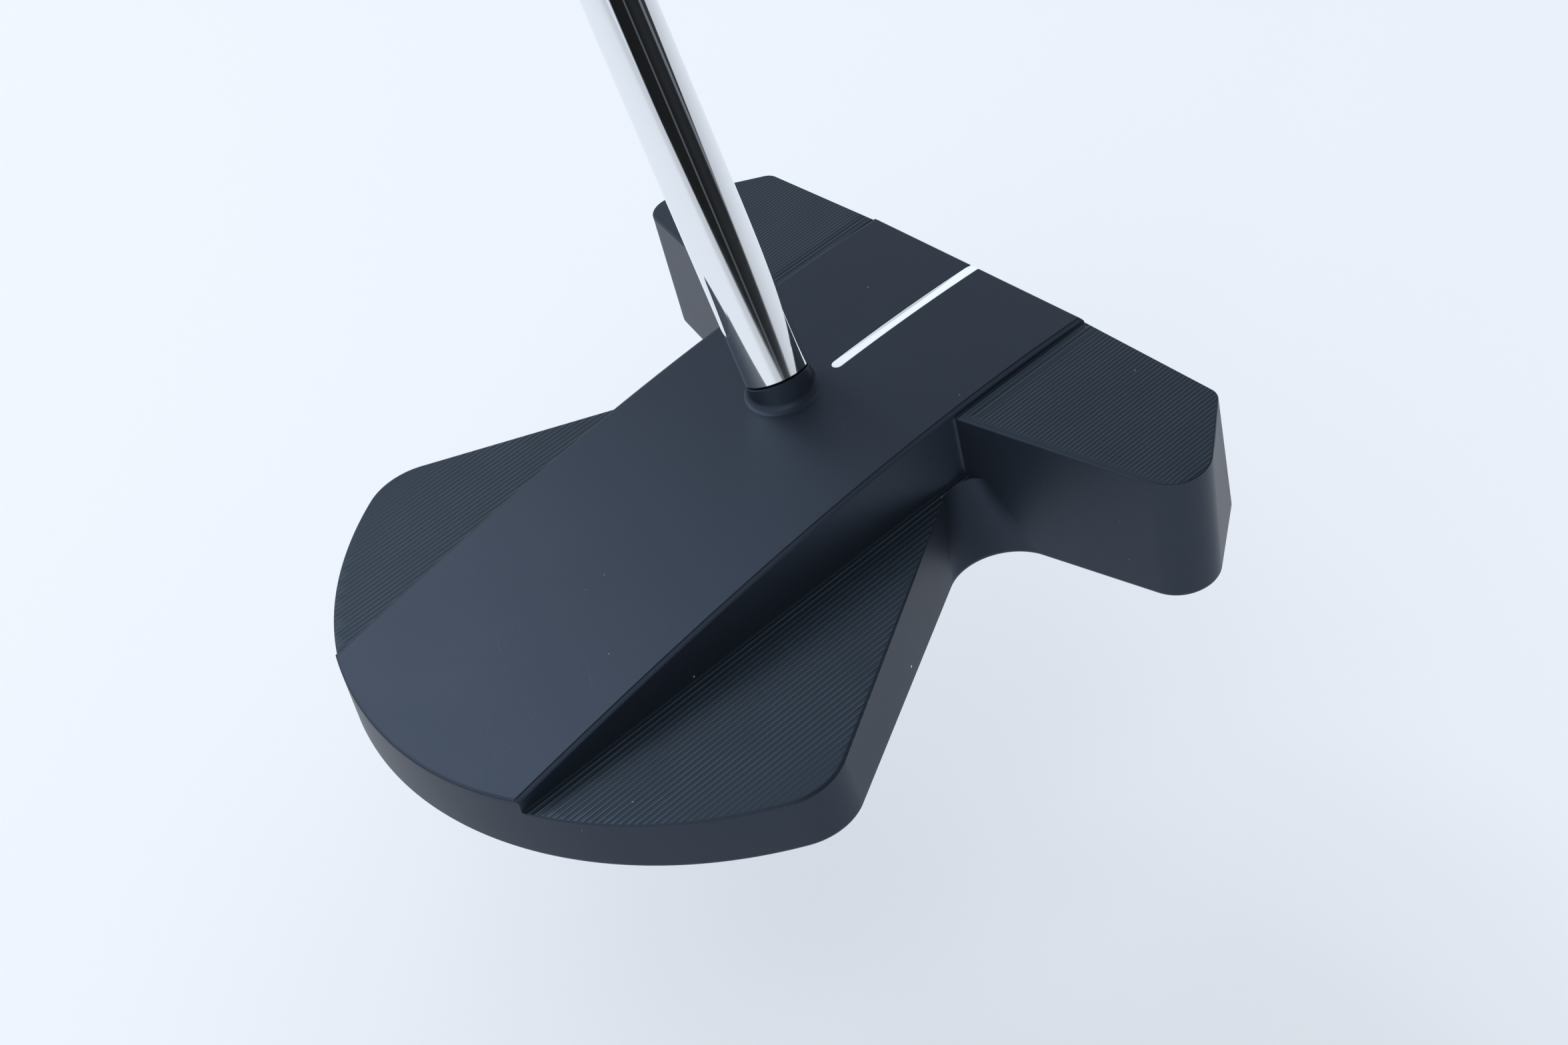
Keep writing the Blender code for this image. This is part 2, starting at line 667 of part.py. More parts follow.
def grip_parts(parts, cutters):
    length = shaft_length()
    low = length - GRIP_LENGTH
    tape_radius = SHAFT_BUTT_RADIUS + SLEEVE_FIT
    tape_shape = [
        (tape_radius, low + TAPE_INSET[0]),
        (tape_radius + TAPE_THICKNESS, low + TAPE_INSET[0]),
        (tape_radius + TAPE_THICKNESS, length - TAPE_INSET[1]),
        (tape_radius, length - TAPE_INSET[1]),
    ]
    tape = on_axis(turned("grip_tape", tape_shape, parts))
    core_inner = tape_radius + TAPE_THICKNESS + SLEEVE_FIT
    core = sleeve(
        "grip_core",
        low + CORE_INSET,
        length,
        GRIP_SKIN + SLEEVE_FIT,
        lambda along, height: round_ring(core_inner, height),
        parts,
    )
    skin = sleeve("grip_skin", low, length, 0.0, lambda a, h: grip_ring(a, h, GRIP_SKIN), parts)
    base = length + SLEEVE_FIT
    rings = [grip_ring(1.0, base + height, inset) for height, inset in CAP_STEPS]
    cap = on_axis(loft("grip_end_cap", rings, parts))
    spigot_radius = SHAFT_BUTT_RADIUS - SHAFT_WALL - SPIGOT_FIT
    spigot_shape = [(0.0, length - CAP_SPIGOT), (spigot_radius, length - CAP_SPIGOT)]
    spigot_shape += [(spigot_radius, base + SPIGOT_ROOT), (0.0, base + SPIGOT_ROOT)]
    spigot = on_axis(turned("cap_spigot", spigot_shape, cutters))
    vent_shape = [(0.0, length - 2 * CAP_SPIGOT), (VENT_RADIUS, length - 2 * CAP_SPIGOT)]
    vent_shape += [(VENT_RADIUS, length + 2 * CAP_HEIGHT), (0.0, length + 2 * CAP_HEIGHT)]
    vent = on_axis(turned("cap_vent", vent_shape, cutters, ROUND_STEPS // 2))
    boolean(cap, spigot, "UNION")
    boolean(cap, vent, "DIFFERENCE")
    return tape, core, skin, cap


def build():
    clear_scene()
    parts = new_collection(OBJECT_NAME)
    cutters = new_collection("cutters", hidden=True)
    dark = principled("anodised_aluminium", (0.036, 0.045, 0.06), 0.42, 0.85)
    steel = principled("weight_steel", (0.55, 0.56, 0.57), 0.3, 1.0)
    plate = principled("insert_steel", (0.5, 0.5, 0.5), 0.32, 1.0)
    chrome = principled("chromed_steel", (0.78, 0.79, 0.8), 0.07, 1.0)
    white = principled("line_white", (0.9, 0.92, 0.93), 0.45, 0.0)
    rubber = principled("grip_rubber", (0.02, 0.02, 0.022), 0.75, 0.0)
    foam = principled("foam", (0.09, 0.09, 0.1), 0.9, 0.0)
    bond = principled("bond", (0.6, 0.55, 0.4), 0.6, 0.0)
    nylon = principled("nylon", (0.75, 0.74, 0.7), 0.5, 0.0)
    tape_white = principled("tape", (0.8, 0.78, 0.7), 0.7, 0.0)

    head = head_blank(parts)
    crown = deck_slab("crown_cut", 0.0, 2 * BLANK_HEIGHT, 2 * WING_TIP[0], cutters)
    boolean(head, crown, "DIFFERENCE")
    for side in (1, -1):
        for cutter in side_cutters(side, cutters):
            boolean(head, cutter, "DIFFERENCE")
    boolean(head, line_solid("line_groove", 0.0, -LINE_DEPTH, CUT_OVER, cutters, cutters), "DIFFERENCE")
    deep = INSERT_THICKNESS + BOND_THICKNESS + 2 * FLAT_CLEARANCE
    boolean(head, face_plate("insert_pocket", POCKET_FIT, deep, deep + CUT_OVER, cutters), "DIFFERENCE")

    places = (
        ("toe", FRONT_WEIGHT, 1),
        ("heel", FRONT_WEIGHT, -1),
        ("toe_rear", REAR_WEIGHT, 1),
        ("heel_rear", REAR_WEIGHT, -1),
    )
    for name, spec, side in places:
        weight, washer, bore = weight_set(name, spec, side, parts, cutters)
        boolean(head, bore, "DIFFERENCE")
        for piece, material in ((weight, steel), (washer, nylon)):
            finish(piece, material)
            origin_to(piece, (side * spec[0], spec[1], SOLE_RECESS))
    screws, screw_bores = tuning_screws(parts, cutters)
    for screw, bore in zip(screws, screw_bores):
        boolean(head, bore, "DIFFERENCE")
        finish(screw, steel)
    boolean(head, neck(cutters), "UNION")
    finish(head, dark)

    insert = face_plate("face_insert", 0.0, INSERT_THICKNESS, INSERT_THICKNESS, parts)
    finish(insert, plate)
    bond_back = INSERT_THICKNESS + BOND_THICKNESS + FLAT_CLEARANCE
    finish(face_plate("face_insert_bond", -BOND_MARGIN, bond_back, BOND_THICKNESS, parts), bond)

    low = FLAT_CLEARANCE - LINE_DEPTH
    paint = line_solid("alignment_line_paint", PAINT_FIT, low, -PAINT_RECESS, parts, cutters)
    front = [(DECK_HALF, 0.0), (DECK_HALF, 2 * CUT_OVER), (-DECK_HALF, 2 * CUT_OVER), (-DECK_HALF, 0.0)]
    trim = flat_prism("paint_trim", front, DECK_TOP / 2, BLANK_HEIGHT, cutters)
    boolean(paint, trim, "DIFFERENCE")
    finish(paint, white)

    for piece, material in zip(shaft_parts(parts), (chrome, bond, foam)):
        finish(piece, material)
    for piece, material in zip(grip_parts(parts, cutters), (tape_white, foam, rubber, rubber)):
        finish(piece, material)

    for tool in cutters.objects:
        tool.display_type = "WIRE"
        tool.hide_render = True


build()
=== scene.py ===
import math

import bpy
import numpy as np
from mathutils import Matrix, Vector


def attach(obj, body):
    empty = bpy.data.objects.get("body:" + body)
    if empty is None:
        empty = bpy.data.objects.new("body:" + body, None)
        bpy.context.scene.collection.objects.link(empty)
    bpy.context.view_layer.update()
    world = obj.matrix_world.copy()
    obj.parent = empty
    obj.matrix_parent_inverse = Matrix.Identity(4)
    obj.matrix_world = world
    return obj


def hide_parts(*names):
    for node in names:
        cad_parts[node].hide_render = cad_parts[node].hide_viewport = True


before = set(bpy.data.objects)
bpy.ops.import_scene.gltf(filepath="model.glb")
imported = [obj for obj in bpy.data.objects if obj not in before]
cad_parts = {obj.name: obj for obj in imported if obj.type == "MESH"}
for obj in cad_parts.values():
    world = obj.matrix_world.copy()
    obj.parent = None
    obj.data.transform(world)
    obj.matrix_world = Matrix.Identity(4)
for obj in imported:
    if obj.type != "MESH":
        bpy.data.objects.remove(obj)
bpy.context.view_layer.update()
mm = 0.001

# The head's plan and tops, millimetres: face edge y = 0, tail -y, toe +x, sole z = 0.
head = {
    "deckHalf": 22.05, "deckTop": 22.29, "deckRise": 0.0114, "deckFall": 0.001726, "deckEase": 3.83e-6,
    "tailCentreY": -49.93, "tailRadius": 56.62, "tailCorner": 9.0, "loft": math.radians(3.9),
    "faceCornerX": 47.06, "wingTip": (60.64, -16.34), "wingRoot": (24.96, -24.07),
    "wingTop": 21.85, "wingFallBack": 0.0383, "wingFallOut": 0.043,
    "faceCornerRadius": 2.4, "toeTipRadius": 5.6, "heelTipRadius": 3.8, "wingTuck": 1.5,
    "flangeSide": (26.25, -34.84), "flangeSlope": -1.6331, "flangeFlare": 1.5,
    "flangeTop": 12.93, "flangeFallOut": 0.0192, "flangeFallBack": 0.0481,
    "waistLow": 8.2, "waistTop": 3.6, "waistHeight": 11.5, "stepCorner": 0.3,
    "soleRound": 0.7, "edgeRound": 0.32, "arcSteps": 24, "blankHeight": 30.0, "over": 5.0, "toolTop": 40.0,
}


# Deck height: a cubic fall from the face to the tail.
def deckZ(y):
    back = -y
    fall = head["deckFall"] * back**2
    return head["deckTop"] + head["deckRise"] * back - fall + head["deckEase"] * back**3


# Wing height: a plane that falls a little backwards and outwards.
def wingZ(x, y):
    return head["wingTop"] + head["wingFallBack"] * y - head["wingFallOut"] * (np.abs(x) - head["deckHalf"])


# Flange height: a plane that falls outwards and towards the tail.
def flangeZ(x, y):
    return head["flangeTop"] - head["flangeFallOut"] * np.abs(x) + head["flangeFallBack"] * y


# The face leans back: distance below the deck's edge times the tangent of the loft.
def faceY(z):
    return (head["deckTop"] - z) * math.tan(head["loft"])


# Rise over run of the wing's back wall.
def wingSlope():
    (tipX, tipY), (rootX, rootY) = head["wingTip"], head["wingRoot"]
    return (tipY - rootY) / (tipX - rootX)


# The wing's back wall: a straight line through its root.
def wingWallY(x):
    return head["wingRoot"][1] + wingSlope() * (x - head["wingRoot"][0])


# Smoothstep, 3u^2 - 2u^3, of the clipped share between low and high.
def smooth(value, low, high):
    share = np.clip((value - low) / (high - low), 0.0, 1.0)
    return share * share * (3 - 2 * share)


# Mesh helpers: everything is worked out in millimetres and stored in metres

# Points in millimetres become a mesh in metres.
def meshObject(name, points, faces, smoothShade=True):
    mesh = bpy.data.meshes.new(name)
    mesh.from_pydata((np.asarray(points, float) * mm).tolist(), [], faces)
    mesh.validate()
    made = bpy.data.objects.new(name, mesh)
    bpy.context.scene.collection.objects.link(made)
    if smoothShade:
        mesh.shade_smooth()
    return made


# Quads between neighbouring rows of a grid: row i, column j joins row i+1, column j+1.
def gridFaces(rows, count, closedRound=True, closedAlong=False, offset=0):
    lastRow = rows if closedAlong else rows - 1
    lastCol = count if closedRound else count - 1
    i, j = np.meshgrid(np.arange(lastRow), np.arange(lastCol), indexing="ij")
    nextI, nextJ = (i + 1) % rows, (j + 1) % count
    corners = [i * count + j, i * count + nextJ, nextI * count + nextJ, nextI * count + j]
    quads = np.stack(corners, axis=-1)
    return (quads.reshape(-1, 4) + offset).tolist()


# Skin over equal rings of points, with an n-gon at each end, or joined end to start.
def loft(name, rings, closedAlong=False):
    rings = np.asarray(rings, float)
    rows, count = rings.shape[:2]
    faces = gridFaces(rows, count, True, closedAlong)
    if not closedAlong:
        faces.append(list(range(count))[::-1])
        faces.append(list(range((rows - 1) * count, rows * count)))
    made = meshObject(name, rings.reshape(-1, 3), faces)
    outwards(made)
    return made


# A closed mesh whose signed volume (the sum of its triangles' triple products) is negative is turned
# over.
def outwards(thing):
    mesh = thing.data
    mesh.calc_loop_triangles()
    co = np.empty(len(mesh.vertices) * 3)
    mesh.vertices.foreach_get("co", co)
    co = co.reshape(-1, 3)
    tri = np.empty(len(mesh.loop_triangles) * 3, int)
    mesh.loop_triangles.foreach_get("vertices", tri)
    a, b, c = (co[tri.reshape(-1, 3)[:, k]] for k in range(3))
    if (a * np.cross(b, c)).sum() < 0:
        mesh.flip_normals()


# A closed slab between two height grids of the same plan: floor below, roof above, walls round the rim.
def cap(name, roof, floor):
    rows, count = floor.shape[:2]
    points = np.concatenate([floor.reshape(-1, 3), roof.reshape(-1, 3)])
    size = rows * count
    low = np.array(gridFaces(rows, count, False))
    faces = low[:, ::-1].tolist() + (low + size).tolist()
    index = np.arange(size).reshape(rows, count)
    rim = np.concatenate([index[0, :-1], index[:-1, -1], index[-1, :0:-1], index[:0:-1, 0]])
    after = np.roll(rim, -1)
    faces += np.stack([rim, after, after + size, rim + size], axis=1).tolist()
    made = meshObject(name, points, faces)
    outwards(made)
    return made


# A closed (radius, height) profile turned about Z; a profile that touches the axis closes in a pole.
def lathe(name, profile, steps=96):
    profile = np.asarray(profile, float)
    turn = np.arange(steps) * 2 * np.pi / steps
    radius, height = profile[:, :1], profile[:, 1:]
    rings = np.stack([radius * np.cos(turn), radius * np.sin(turn), np.repeat(height, steps, axis=1)], axis=-1)
    closedAlong = profile[:, 0].min() > 0
    if closedAlong:
        return loft(name, rings, True)
    inner = rings[1:-1]  # the poles are single points
    rows = len(inner)
    points = np.concatenate([inner.reshape(-1, 3), [[0, 0, profile[0, 1]], [0, 0, profile[-1, 1]]]])
    faces = gridFaces(rows, steps)
    ring = np.arange(steps)
    after = (ring + 1) % steps
    faces += np.stack([np.full(steps, rows * steps), after, ring], axis=1).tolist()
    top = (rows - 1) * steps
    faces += np.stack([np.full(steps, rows * steps + 1), ring + top, after + top], axis=1).tolist()
    made = meshObject(name, points, faces)
    outwards(made)
    return made


# A mesh is turned, then moved; the spot is in millimetres.
def place(thing, spot=(0, 0, 0), turn=None):
    matrix = Matrix.Translation(Vector(spot) * mm)
    if turn is not None:
        matrix = matrix @ turn.to_4x4()
    thing.data.transform(matrix)
    return thing


# Each tool in turn is taken from the target, or joined to it, and then removed.
def cut(target, tools, operation="DIFFERENCE"):
    for tool in tools:
        step = target.modifiers.new(tool.name, "BOOLEAN")
        step.solver = "MANIFOLD"
        step.operation = operation
        step.object = tool
    bake(target)
    for tool in tools:
        bpy.data.objects.remove(tool)
    return target


# The modifiers' result becomes the mesh itself.
def bake(thing):
    bpy.context.view_layer.update()
    graph = bpy.context.evaluated_depsgraph_get()
    mesh = bpy.data.meshes.new_from_object(thing.evaluated_get(graph))
    thing.modifiers.clear()
    old, thing.data = thing.data, mesh
    bpy.data.meshes.remove(old)
    mesh.name = thing.name
    return thing


# Smooth shading up to an angle, with normals weighted by face area so that flats stay flat.
def softEdges(thing, angle=40):
    mesh = thing.data
    mesh.shade_smooth()
    mesh.set_sharp_from_angle(angle=math.radians(angle))
    weigh = thing.modifiers.new("weigh", "WEIGHTED_NORMAL")
    weigh.mode = "FACE_AREA"
    weigh.keep_sharp = True
    weigh.weight = 60
    return bake(thing)


# The head's plan

# Points at equal angles on a circle.
def arc(centre, radius, start, stop, steps=None):
    turn = np.linspace(start, stop, (steps or head["arcSteps"]) + 1)
    return np.stack([centre[0] + radius * np.cos(turn), centre[1] + radius * np.sin(turn)], axis=1)


# The arc that rounds a corner between two straight edges, either way round.
def rounded(before, corner, after, radius, steps=None):
    corner = Vector(corner)
    back, on = (Vector(before) - corner).normalized(), (Vector(after) - corner).normalized()
    half = back.angle(on) / 2
    centre = corner + (back + on).normalized() * radius / math.sin(half)
    first = corner + back * radius / math.tan(half) - centre
    last = corner + on * radius / math.tan(half) - centre
    start = math.atan2(first.y, first.x)
    sweep = math.remainder(math.atan2(last.y, last.x) - start, 2 * math.pi)
    return arc(centre, radius, start, start + sweep, steps)


# Where the flange's side line, moved out by the flare, meets the line of the wing's back wall.
def waistCorner(flare=0.0):
    slope = wingSlope()
    x0, y0 = head["flangeSide"]
    rise = y0 - head["flangeSlope"] * (x0 + flare)
    x = (rise - head["wingRoot"][1] + slope * head["wingRoot"][0]) / (slope - head["flangeSlope"])
    return (x, wingWallY(x))


# The waist's round shrinks evenly from the sole up to the waist's height.
def waistRadius(z):
    share = min(z / head["waistHeight"], 1.0)
    return head["waistLow"] + (head["waistTop"] - head["waistLow"]) * share


# Half the outline at one height: face, tip, waist, tail corner and tail, each arc with the same count.
def planHalf(z, tipRadius):
    front = faceY(z)
    tuck = head["wingTuck"] * (1 - z / head["deckTop"])
    corner = (head["faceCornerX"] - tuck, front)
    tip = (head["wingTip"][0] - tuck, head["wingTip"][1])
    waist = waistCorner(head["flangeFlare"] * max(0.0, 1 - z / head["flangeTop"]))
    side = Vector((1, head["flangeSlope"])).normalized()
    outward = Vector((-side.y, side.x))
    tail = Vector((0, head["tailCentreY"]))
    small = head["tailCorner"]
    fromTail = Vector(waist) - outward * small - tail
    reach = head["tailRadius"] - small
    along = -fromTail.dot(side) + math.sqrt(fromTail.dot(side) ** 2 - fromTail.length_squared + reach**2)
    centre = tail + fromTail + side * along
    toArc = (centre - tail).normalized()
    start, stop = math.atan2(outward.y, outward.x), math.atan2(toArc.y, toArc.x)
    end = centre + outward * small
    return {
        "face": np.array([(0.0, front)]),
        "corner": rounded((0, front), corner, tip, head["faceCornerRadius"]),
        "tip": rounded(corner, tip, waist, tipRadius),
        "waist": rounded(tip, waist, tuple(end), waistRadius(z)),
        "tailCorner": arc(centre, small, start, stop),
        "tail": arc(tail, head["tailRadius"], stop, -math.pi / 2, 3 * head["arcSteps"])[1:],
    }


# Points moved along the line's own left or right normal, towards the head's middle.
def inwards(line, inset, closed):
    if closed:
        along = np.roll(line, -1, axis=0) - np.roll(line, 1, axis=0)
    else:
        along = np.gradient(line, axis=0)
    along /= np.linalg.norm(along, axis=1)[:, None]
    normal = np.stack([along[:, 1], -along[:, 0]], axis=1)
    middle = np.array([0.0, head["tailCentreY"]])
    if not closed or ((line - middle) * normal).sum() < 0:  # open lines run clockwise seen from above
        normal = -normal
    return line - normal * inset


# The toe half, then the heel half mirrored and reversed, all moved inwards at one height.
def planRing(z, inset):
    toe = np.concatenate(list(planHalf(z, head["toeTipRadius"]).values()))
    heel = np.concatenate(list(planHalf(z, head["heelTipRadius"]).values()))
    heel = heel[1:-1][::-1] * [-1, 1]
    line = inwards(np.concatenate([toe, heel]), inset, True)
    return np.column_stack([line, np.full(len(line), z)])


# Plan rings from the rounded sole edge to above the deck.
def headBlank():
    turn = np.linspace(0, np.pi / 2, 6)
    r = head["soleRound"]
    levels = [(r * (1 - math.sin(t)), r * (1 - math.cos(t))) for t in turn[::-1]]
    rows = [(z, inset) for z, inset in levels] + [(z, 0.0) for z in (4.0, 8.0, head["waistHeight"])]
    rows += [(head["deckTop"], 0.0), (head["blankHeight"], 0.0)]
    return loft("head_milled", [planRing(z, inset) for z, inset in rows])


# The milled tops

deckEdge = {"steps": ((-0.80, 0.0), (-0.72, 0.15), (-0.20, 0.25), (-0.06, 0.33), (0.0, 0.45)), "stations": 90}
# The wing's last fade sets where the painted crest highlights fade in from the wing's wall.
wingMill = {"groove": (0.5, 0.16), "ridges": ((1.0, 0.13), (0.9, 0.11), (0.75, 0.09)), "pitch": 0.64,
            "depth": 0.055, "samples": 8, "plain": 0.5, "fade": 1.3, "glintFade": (0.5, 1.6)}
flangeMill = {"groove": (0.7, 0.12), "ridges": ((0.9, 0.1), (0.9, 0.09)), "pitch": 0.84,
              "depth": 0.06, "samples": 8, "plain": 0.3, "fade": 1.1, "leave": 5.6,
              "weaken": 0.8, "slant": 0.30, "slantFrom": -60, "weakFrom": 20, "weakTo": 34}


# Share of the weakening: it grows with the distance across, and sooner the further back.
def outerCorner(across, y):
    slanted = across + flangeMill["slant"] * (flangeMill["slantFrom"] - y)
    return smooth(slanted, flangeMill["weakFrom"], flangeMill["weakTo"])


# Stations across and the depth cut at each: a concave arc per pass, depth * (1 - (2u - 1)^2) for u in
# 0..1.
def scallops(spec, width):
    passes = [spec["groove"], *spec["ridges"]]
    used = sum(p[0] for p in passes)
    passes += [(spec["pitch"], spec["depth"])] * int((width - used) / spec["pitch"] + 1)
    start = np.concatenate([[0], np.cumsum([p[0] for p in passes])])
    share = np.arange(spec["samples"]) / spec["samples"]
    pitch, depth = np.array(passes).T
    across = (start[:-1, None] + share * pitch[:, None]).ravel()
    drop = (depth[:, None] * (1 - (2 * share - 1) ** 2)).ravel()
    return across, drop


# The slab above a height grid, up to the tools' top.
def above(name, x, y, z, top=head["toolTop"]):
    return cap(name, np.stack([x, y, np.full_like(x, top)], axis=-1), np.stack([x, y, z], axis=-1))


# What stands above the deck: its curve along Y, and the stepped edge band along both sides.
def crownTool():
    half = head["deckHalf"]
    inner = [(half + x, drop) for x, drop in deckEdge["steps"]]
    xs = np.array([-70.0] + [-x for x, _ in inner[::-1]] + [x for x, _ in inner] + [70.0])
    oneSide = [d for _, d in inner] + [inner[-1][1]]
    drops = np.array(oneSide[::-1] + oneSide)
    far = head["tailCentreY"] - head["tailRadius"] - head["over"]
    ys = np.linspace(head["over"], far, deckEdge["stations"])
    x, y = np.meshgrid(xs, ys)
    return above("crown_tool", x, y, deckZ(y) - drops)


# Above the wing: passes along Y that fade out before the wing's rear edge.
def wingTool(side):
    half = head["deckHalf"]
    across, drop = scallops(wingMill, 66 - half)
    x = half + across
    plain, fade = wingMill["plain"], wingMill["fade"]
    wall = wingWallY(x)
    backs = [np.full_like(x, head["over"]), np.full_like(x, 0.3)]
    backs += [wall + d for d in np.linspace(fade + plain, plain, 6)] + [wall, np.minimum(wall, wall[0]) - 2.0]
    y = np.array(backs)
    xx = np.repeat(x[None], len(y), axis=0)
    amount = smooth(y - wall, plain, fade + plain)
    amount = np.where((across < wingMill["groove"][0])[None], 1.0, amount)
    z = wingZ(xx, y) - drop * amount
    return above("wing_tool", side * xx, y, z)


# Above the flange, behind the wing's wall: passes along Y, weaker towards the outer rear corner.
def flangeTool(side):
    half, far = head["deckHalf"], head["tailCentreY"] - head["tailRadius"] - head["over"]
    across, drop = scallops(flangeMill, 72 - half)
    x = half + across
    radius = head["stepCorner"]
    cornerDrop = radius - np.sqrt(np.clip(radius**2 - (radius - across) ** 2, 0, None))
    top = wingWallY(x) - cornerDrop * (across < radius)
    leave = waistCorner()[0] + flangeMill["leave"]  # past here the blank's own wall stands
    top = np.where(x > leave, np.minimum(top, wingWallY(leave) - 0.6 * (x - leave)), top + 0.01)
    share = np.concatenate([[0, 0.004, 0.012, 0.02], np.linspace(0.04, 1, 34)])[:, None]
    y = top + (far - top) * share
    xx = np.repeat(x[None], len(y), axis=0)
    distance = top - y
    amount = smooth(distance, flangeMill["plain"], flangeMill["fade"])
    amount *= 1 - flangeMill["weaken"] * outerCorner(across, y)
    z = flangeZ(xx, y) - drop * amount
    return above("flange_tool", side * xx, y, z)


# A rounding plane swept along an edge: the section leaves the top at r inside the wall and meets it r
# below.
def edgeTool(name, line, height, side):
    r = head["edgeRound"]
    turn = np.linspace(0, np.pi / 2, 5)
    section = [(r * (1 - math.sin(t)), r * (1 - math.cos(t))) for t in turn]  # (inset, drop)
    section = [(r, -0.6)] + section + [(-0.6, r), (-0.6, -0.6)]
    rings = []
    for inset, drop in section:
        moved = inwards(line, inset, False)
        z = height(line[:, 0], line[:, 1]) - drop
        rings.append(np.column_stack([side * moved[:, 0], moved[:, 1], z]))
    return loft(name, np.array(rings).transpose(1, 0, 2))


# The three top edges of one side: wing (front, tip and back wall), flange (side and tail) and the rear
# rim.
def headEdges(side):
    radius = head["toeTipRadius"] if side > 0 else head["heelTipRadius"]
    high, low = planHalf(20.8, radius), planHalf(10.0, radius)
    half = head["deckHalf"]
    backEnd = np.array([(half + 0.4, wingWallY(half + 0.4))])
    frontStart = np.array([(half, 0.05)])
    wing = np.concatenate([frontStart, high["corner"], high["tip"], backEnd])
    wing = densify(wing, 1.0)
    flange = np.concatenate([low["waist"][6:], low["tailCorner"], low["tail"]])
    flange = densify(flange[flange[:, 0] > half + 0.1], 1.0)
    return [edgeTool("wing_edge", wing, wingZ, side), edgeTool("flange_edge", flange, flangeZ, side)]


# Points added along straight runs, so that no step is longer than the pitch.
def densify(line, pitch):
    step = np.linalg.norm(np.diff(line, axis=0), axis=1)
    run = np.concatenate([[0], np.cumsum(step)])
    every = np.unique(np.concatenate([run, np.arange(0, run[-1], pitch)]).round(4))
    keep = np.concatenate([[True], np.diff(every) > 0.02])
    every = every[keep]
    return np.column_stack([np.interp(every, run, line[:, k]) for k in range(2)])


# The deck's own two ends: the face's top edge and the tail's rim.
def rimTool():
    half = head["deckHalf"] + 0.3  # past the step on each side, above the lower tops
    xs = np.linspace(half, -half, 60)
    front = np.column_stack([xs, np.zeros_like(xs)])
    tailX = np.linspace(-half, half, 60)
    tail = np.column_stack([tailX, head["tailCentreY"] - np.sqrt(head["tailRadius"] ** 2 - tailX**2)])
    lines = (("front_rim", front), ("tail_rim", tail))
    return [edgeTool(name, line[::-1], lambda x, y: deckZ(y), 1) for name, line in lines]


# Shaft axis, neck and shaft

shaft = {
    "foot": (-3.56, -34.24, 22.82), "slope": (-0.3421, 0.0226, 1.0), "tipRadius": 4.72, "lowRadius": 4.8,
    "buttRadius": 7.6, "wall": 0.45, "lowLength": 220.0, "steps": 11, "stepLength": 34.0, "length": 864.0,
    "gap": 0.25, "postRadius": 3.9, "postLength": 32.0, "fillet": 1.0, "capHeight": 4.0, "sides": 160,
    "footBevel": 0.18, "stepDrop": 0.04, "stepCone": (0.7, 1.0), "neckGap": 0.12,
}
axis = Vector(shaft["slope"]).normalized()
axisTurn = axis.to_track_quat("Z", "Y").to_matrix()
foot = Vector(shaft["foot"])
shaftLength = shaft["length"] - foot.z / axis.z - shaft["capHeight"]


# A piece built up the Z axis is stood on the leaning shaft axis.
def onAxis(thing):
    return place(thing, foot, axisTurn)


# Rings up the leaning axis: a quarter-round out of the deck's curve, the neck, then the post in the
# shaft.
def neckTool():
    turn = np.arange(shaft["sides"]) * 2 * np.pi / shaft["sides"]
    across, over, up = np.array(axisTurn.col[0]), np.array(axisTurn.col[1]), np.array(axis)
    wall = np.array(foot) + (np.cos(turn)[:, None] * across + np.sin(turn)[:, None] * over) * shaft["tipRadius"]

    def ring(out, lift):
        spot = wall.copy()
        for _ in range(6):  # slides each point down the axis until it stands the lift above the deck
            fall = (deckZ(spot[:, 1]) + lift - spot[:, 2]) / up[2]
            spot = spot + up * fall[:, None]
        level = spot[:, :2] - np.array(foot)[:2] - up[:2] * ((spot[:, 2] - foot.z) / up[2])[:, None]
        level /= np.linalg.norm(level, axis=1)[:, None]
        moved = spot.copy()
        moved[:, :2] += level * out
        moved[:, 2] = deckZ(moved[:, 1]) + lift
        return moved

    r = shaft["fillet"]
    rings = [ring(r, -3.0)]
    for t in np.linspace(np.pi / 2, 0, 14):
        rings.append(ring(r * (1 - math.cos(t)), r * (1 - math.sin(t)) - (0.012 if t > 1.5 else 0)))
    spokes = np.cos(turn)[:, None] * across + np.sin(turn)[:, None] * over
    rings.append(wall - up * shaft["neckGap"])
    for radius, along in ((shaft["tipRadius"] - shaft["neckGap"], 0.0), (shaft["postRadius"], 0.02),
                          (shaft["postRadius"], shaft["postLength"])):
        rings.append(np.array(foot) + spokes * radius + up * along)
    return loft("neck_tool", rings)


# Sole: weights, washers, small screws and their holes

soleParts = {
    "frontWeight": (41.0, -9.5, 7.0, 5.0, 9.0), "rearWeight": (30.5, -77.0, 6.0, 4.3, 4.0),
    "capThickness": 2.2, "washer": 0.5, "recess": 0.3, "clearance": 0.15, "flat": 0.05,
    "screws": ((-12.0, -88.0), (-4.0, -92.0), (4.0, -92.0), (12.0, -88.0)),
    "screwRadius": 2.5, "screwLength": 5.0,
    "weightSocket": 4.0, "screwSocket": 2.4, "socketDepth": 1.5, "threadPitch": 1.0, "threadDepth": 0.35,
    "chamfer": 0.25, "boreEnd": 0.6, "washerBevel": 0.08, "washerRim": 0.12, "washerShy": 0.3, "screwEnd": 0.05,
    "screwSlack": 0.15, "screwBevel": 0.3,
}


